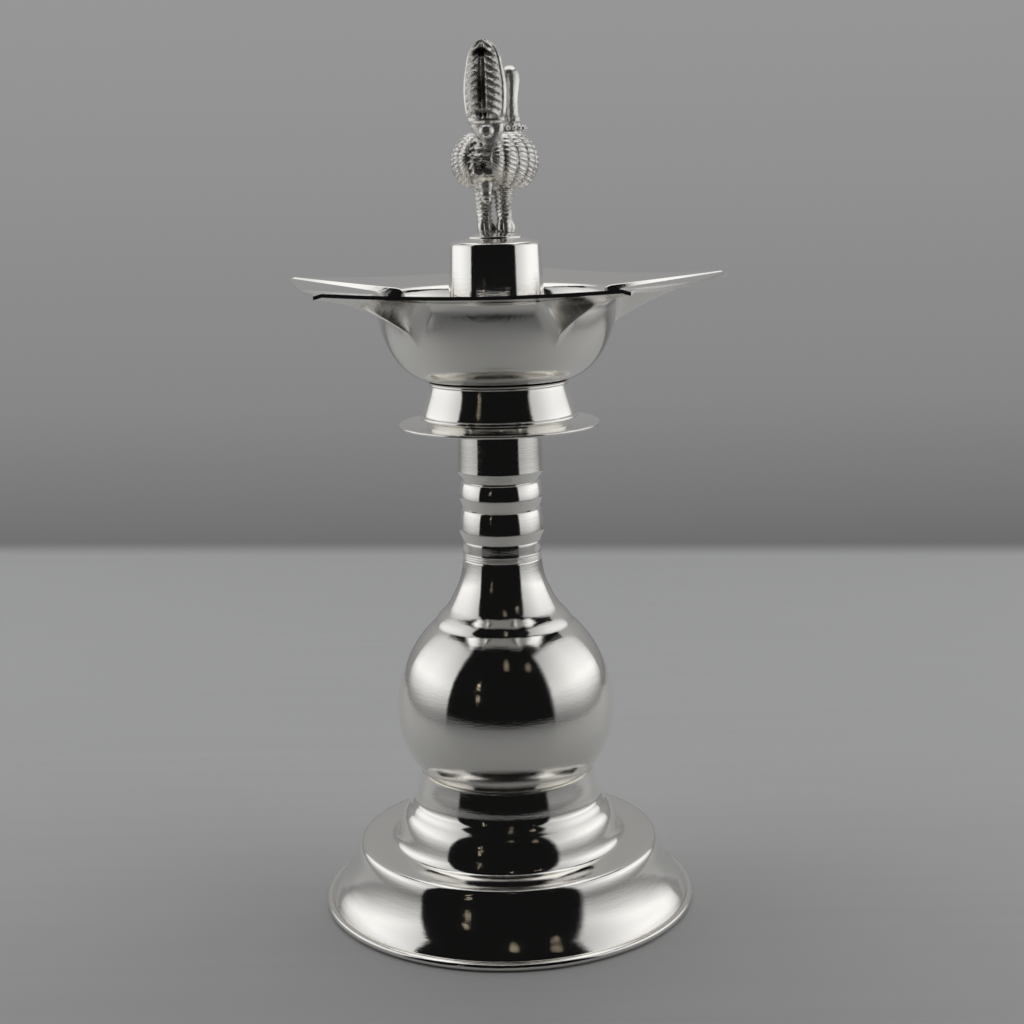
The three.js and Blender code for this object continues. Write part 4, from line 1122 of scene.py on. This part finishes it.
def light_wall(name, bearing, front, back, top, material):
    """An upright light wall on the table that faces the lamp from a bearing. front and back are
    the bearings of its ends."""
    facing = math.radians(bearing)
    foot = WALL_AWAY * np.array([math.sin(facing), -math.cos(facing)])
    along = np.array([math.cos(facing), math.sin(facing)])
    ends = [foot + along * WALL_AWAY * math.tan(math.radians(end - bearing)) for end in (front, back)]
    corners = [[*ends[0], 0], [*ends[1], 0], [*ends[1], top], [*ends[0], top]]
    staged(name, corners, material).visible_camera = False


def small_lamp(bearing, height_angle):
    """A small warm bulb a metre from the lamp's middle, high in the dark room in front."""
    away, middle = 1.0, 0.06
    turn, rise = math.radians(bearing), math.radians(height_angle)
    light = bpy.data.lights.new("small_lamp", "POINT")
    light.energy = 0.02
    light.color = (1.0, 0.85, 0.65)
    light.shadow_soft_size = 0.008
    level = away * math.cos(rise)
    linked("small_lamp", light).location = (
        AXIS[0] * MM + level * math.sin(turn), AXIS[1] * MM - level * math.cos(turn),
        middle + away * math.sin(rise))


def camera_matrix():
    """Place of the photograph's camera: at CAMERA_PLACE, pitched up from straight down, rolled."""
    spot = Vector((CAMERA_PLACE + AXIS_FOOT) * MM)
    turn = Matrix.Rotation(math.radians(CAMERA_PITCH), 4, "X")
    return Matrix.Translation(spot) @ turn @ Matrix.Rotation(math.radians(CAMERA_ROLL), 4, "Z")


def table_edge(row, column):
    """Point of the ground, in millimetres about the axis, that the camera sees at a pixel."""
    across, up = (column - PICTURE / 2) / PICTURE, (PICTURE / 2 - row) / PICTURE
    view = Vector([across * SENSOR / LENS, up * SENSOR / LENS, -1])
    place = camera_matrix()
    ray = place.to_3x3() @ view
    reach = -place.translation.z / ray.z
    seen = place.translation + reach * ray
    return np.array([seen.x / MM - AXIS[0], seen.y / MM - AXIS[1], 0.0])


def table_material(studio, left, right):
    """Grey laminate: faint streaks across the view and a soft sheen. It fades out in front of its
    back edge, which runs from left to right, as if out of focus."""
    material, tree, shader = new_material("grey_table")
    place = object_place(tree)
    grain = noise(tree, scaled(tree, place, STREAK_SCALE), 1.0, 3.0)
    x, y, _ = split(tree, place)
    slope = (right[1] - left[1]) / (right[0] - left[0])
    start = (left[1] - slope * left[0] + AXIS[1] - slope * AXIS[0]) * MM
    fade = add(tree, "ShaderNodeMapRange", {"interpolation_type": "SMOOTHSTEP"},
               {"Value": y - x * slope - start, 1: -TABLE_SOFT * MM, 2: 0.0, 3: 1.0, 4: 0.0})
    feed(tree, shader, {
        "Base Color": mixed(tree, grain, studio.table, [0.93 * part for part in studio.table]),
        "Roughness": 0.5, "Alpha": fade.outputs[0]})
    return material


def glowing_backdrop_material(studio):
    """Grey wall that glows with painted light instead of being lit by the lamps: painted shade makes it
    darkest just above the table, and it gets lighter upwards.
    """
    material, tree, shader = new_material("backdrop", "ShaderNodeEmission")
    height = split(tree, object_place(tree))[2]
    # Painted shade: levels of the glow by height, darkest in the band just above the table.
    stops = [(0.0, 0.12), (0.33, 0.15), (0.36, 0.18), (0.43, 0.24), (0.62, 0.295), (1.0, 0.36)]
    feed(tree, shader, {"Color": ramp(tree, height, -0.4, 0.6, stops), "Strength": studio.backdrop})
    return material


def dark_room(scene, studio):
    """The faint even light of the room round the studio."""
    scene.world = bpy.data.worlds.new("room")
    scene.world.use_nodes = True
    back = scene.world.node_tree.nodes["Background"]
    back.inputs[0].default_value = (studio.room,) * 3 + (1,)
    back.inputs[1].default_value = 1.0


def photo_camera(scene):
    """The camera that took the photograph."""
    camera = bpy.data.cameras.new("camera")
    camera.lens = LENS
    camera.sensor_width = SENSOR
    camera.clip_start = 0.01
    scene.camera = linked("camera", camera)
    scene.camera.matrix_world = camera_matrix()


class LAMP_OT_studio(bpy.types.Operator):
    """Makes the table, the backdrop, the lights and the camera of the photograph."""

    bl_idname = "lamp.studio"
    bl_label = "Studio"

    def execute(self, context):
        studio = context.scene.lamp_studio
        left, right = table_edge(TABLE_ROW, 0), table_edge(TABLE_ROW, PICTURE)
        along = right - left
        front = [[-TABLE_HALF, TABLE_FRONT, 0], [TABLE_HALF, TABLE_FRONT, 0]]
        staged("table", front + [right + along, left - along], table_material(studio, left, right))
        # The backdrop glows with painted light and shade rather than being lit by the lamps.
        staged("backdrop", [[x, BACKDROP_AWAY, z] for x, z in (
            (-1600, -400), (1600, -400), (1600, 1200), (-1600, 1200))], glowing_backdrop_material(studio))
        for side, strength in (("left", studio.left_light), ("right", studio.right_light)):
            light = glow(side + "_light", strength, WALL_LEVELS, WALLS[side][-1])
            light_wall(side + "_wall", *WALLS[side], light)
        overhead = glow("overhead", studio.overhead, [(0.0, 1.0), (1.0, 1.0)], OVERHEAD_HEIGHT)
        staged("overhead", [[x, y, OVERHEAD_HEIGHT] for x, y in (
            (-420, -150), (420, -150), (420, 900), (-420, 900))], overhead).visible_camera = False
        for bearing, height_angle in LAMP_SPOTS:
            small_lamp(bearing, height_angle)
        dark_room(context.scene, studio)
        photo_camera(context.scene)
        context.scene.view_settings.view_transform = "Standard"
        return {"FINISHED"}


class LAMP_PT_panel(bpy.types.Panel):
    """Lists the lamp's sizes, finishes and steps."""

    bl_label = "Oil Lamp"
    bl_idname = "LAMP_PT_panel"
    bl_space_type = "VIEW_3D"
    bl_region_type = "UI"
    bl_category = "Oil Lamp"

    def draw(self, context):
        layout = self.layout
        for group in (context.scene.lamp_sizes, context.scene.lamp_finish, context.scene.lamp_studio):
            for name in group.__annotations__:
                layout.prop(group, name)
        for operator in OPERATORS:
            layout.operator(operator.bl_idname)


OPERATORS = (LAMP_OT_foot, LAMP_OT_stem, LAMP_OT_head, LAMP_OT_lid, LAMP_OT_studio)
GROUPS = {"lamp_sizes": LampSizes, "lamp_finish": LampFinish, "lamp_studio": LampStudio}


def register():
    for name, group in GROUPS.items():
        bpy.utils.register_class(group)
        setattr(bpy.types.Scene, name, PointerProperty(type=group))
    for kind in (*OPERATORS, LAMP_PT_panel):
        bpy.utils.register_class(kind)


def unregister():
    for kind in (LAMP_PT_panel, *reversed(OPERATORS)):
        bpy.utils.unregister_class(kind)
    for name, group in GROUPS.items():
        delattr(bpy.types.Scene, name)
        bpy.utils.unregister_class(group)


def main():
    register()
    bpy.ops.lamp.foot()
    bpy.ops.lamp.stem()
    bpy.ops.lamp.head()
    bpy.ops.lamp.lid()
    bpy.ops.lamp.studio()


if __name__ == "__main__":
    main()
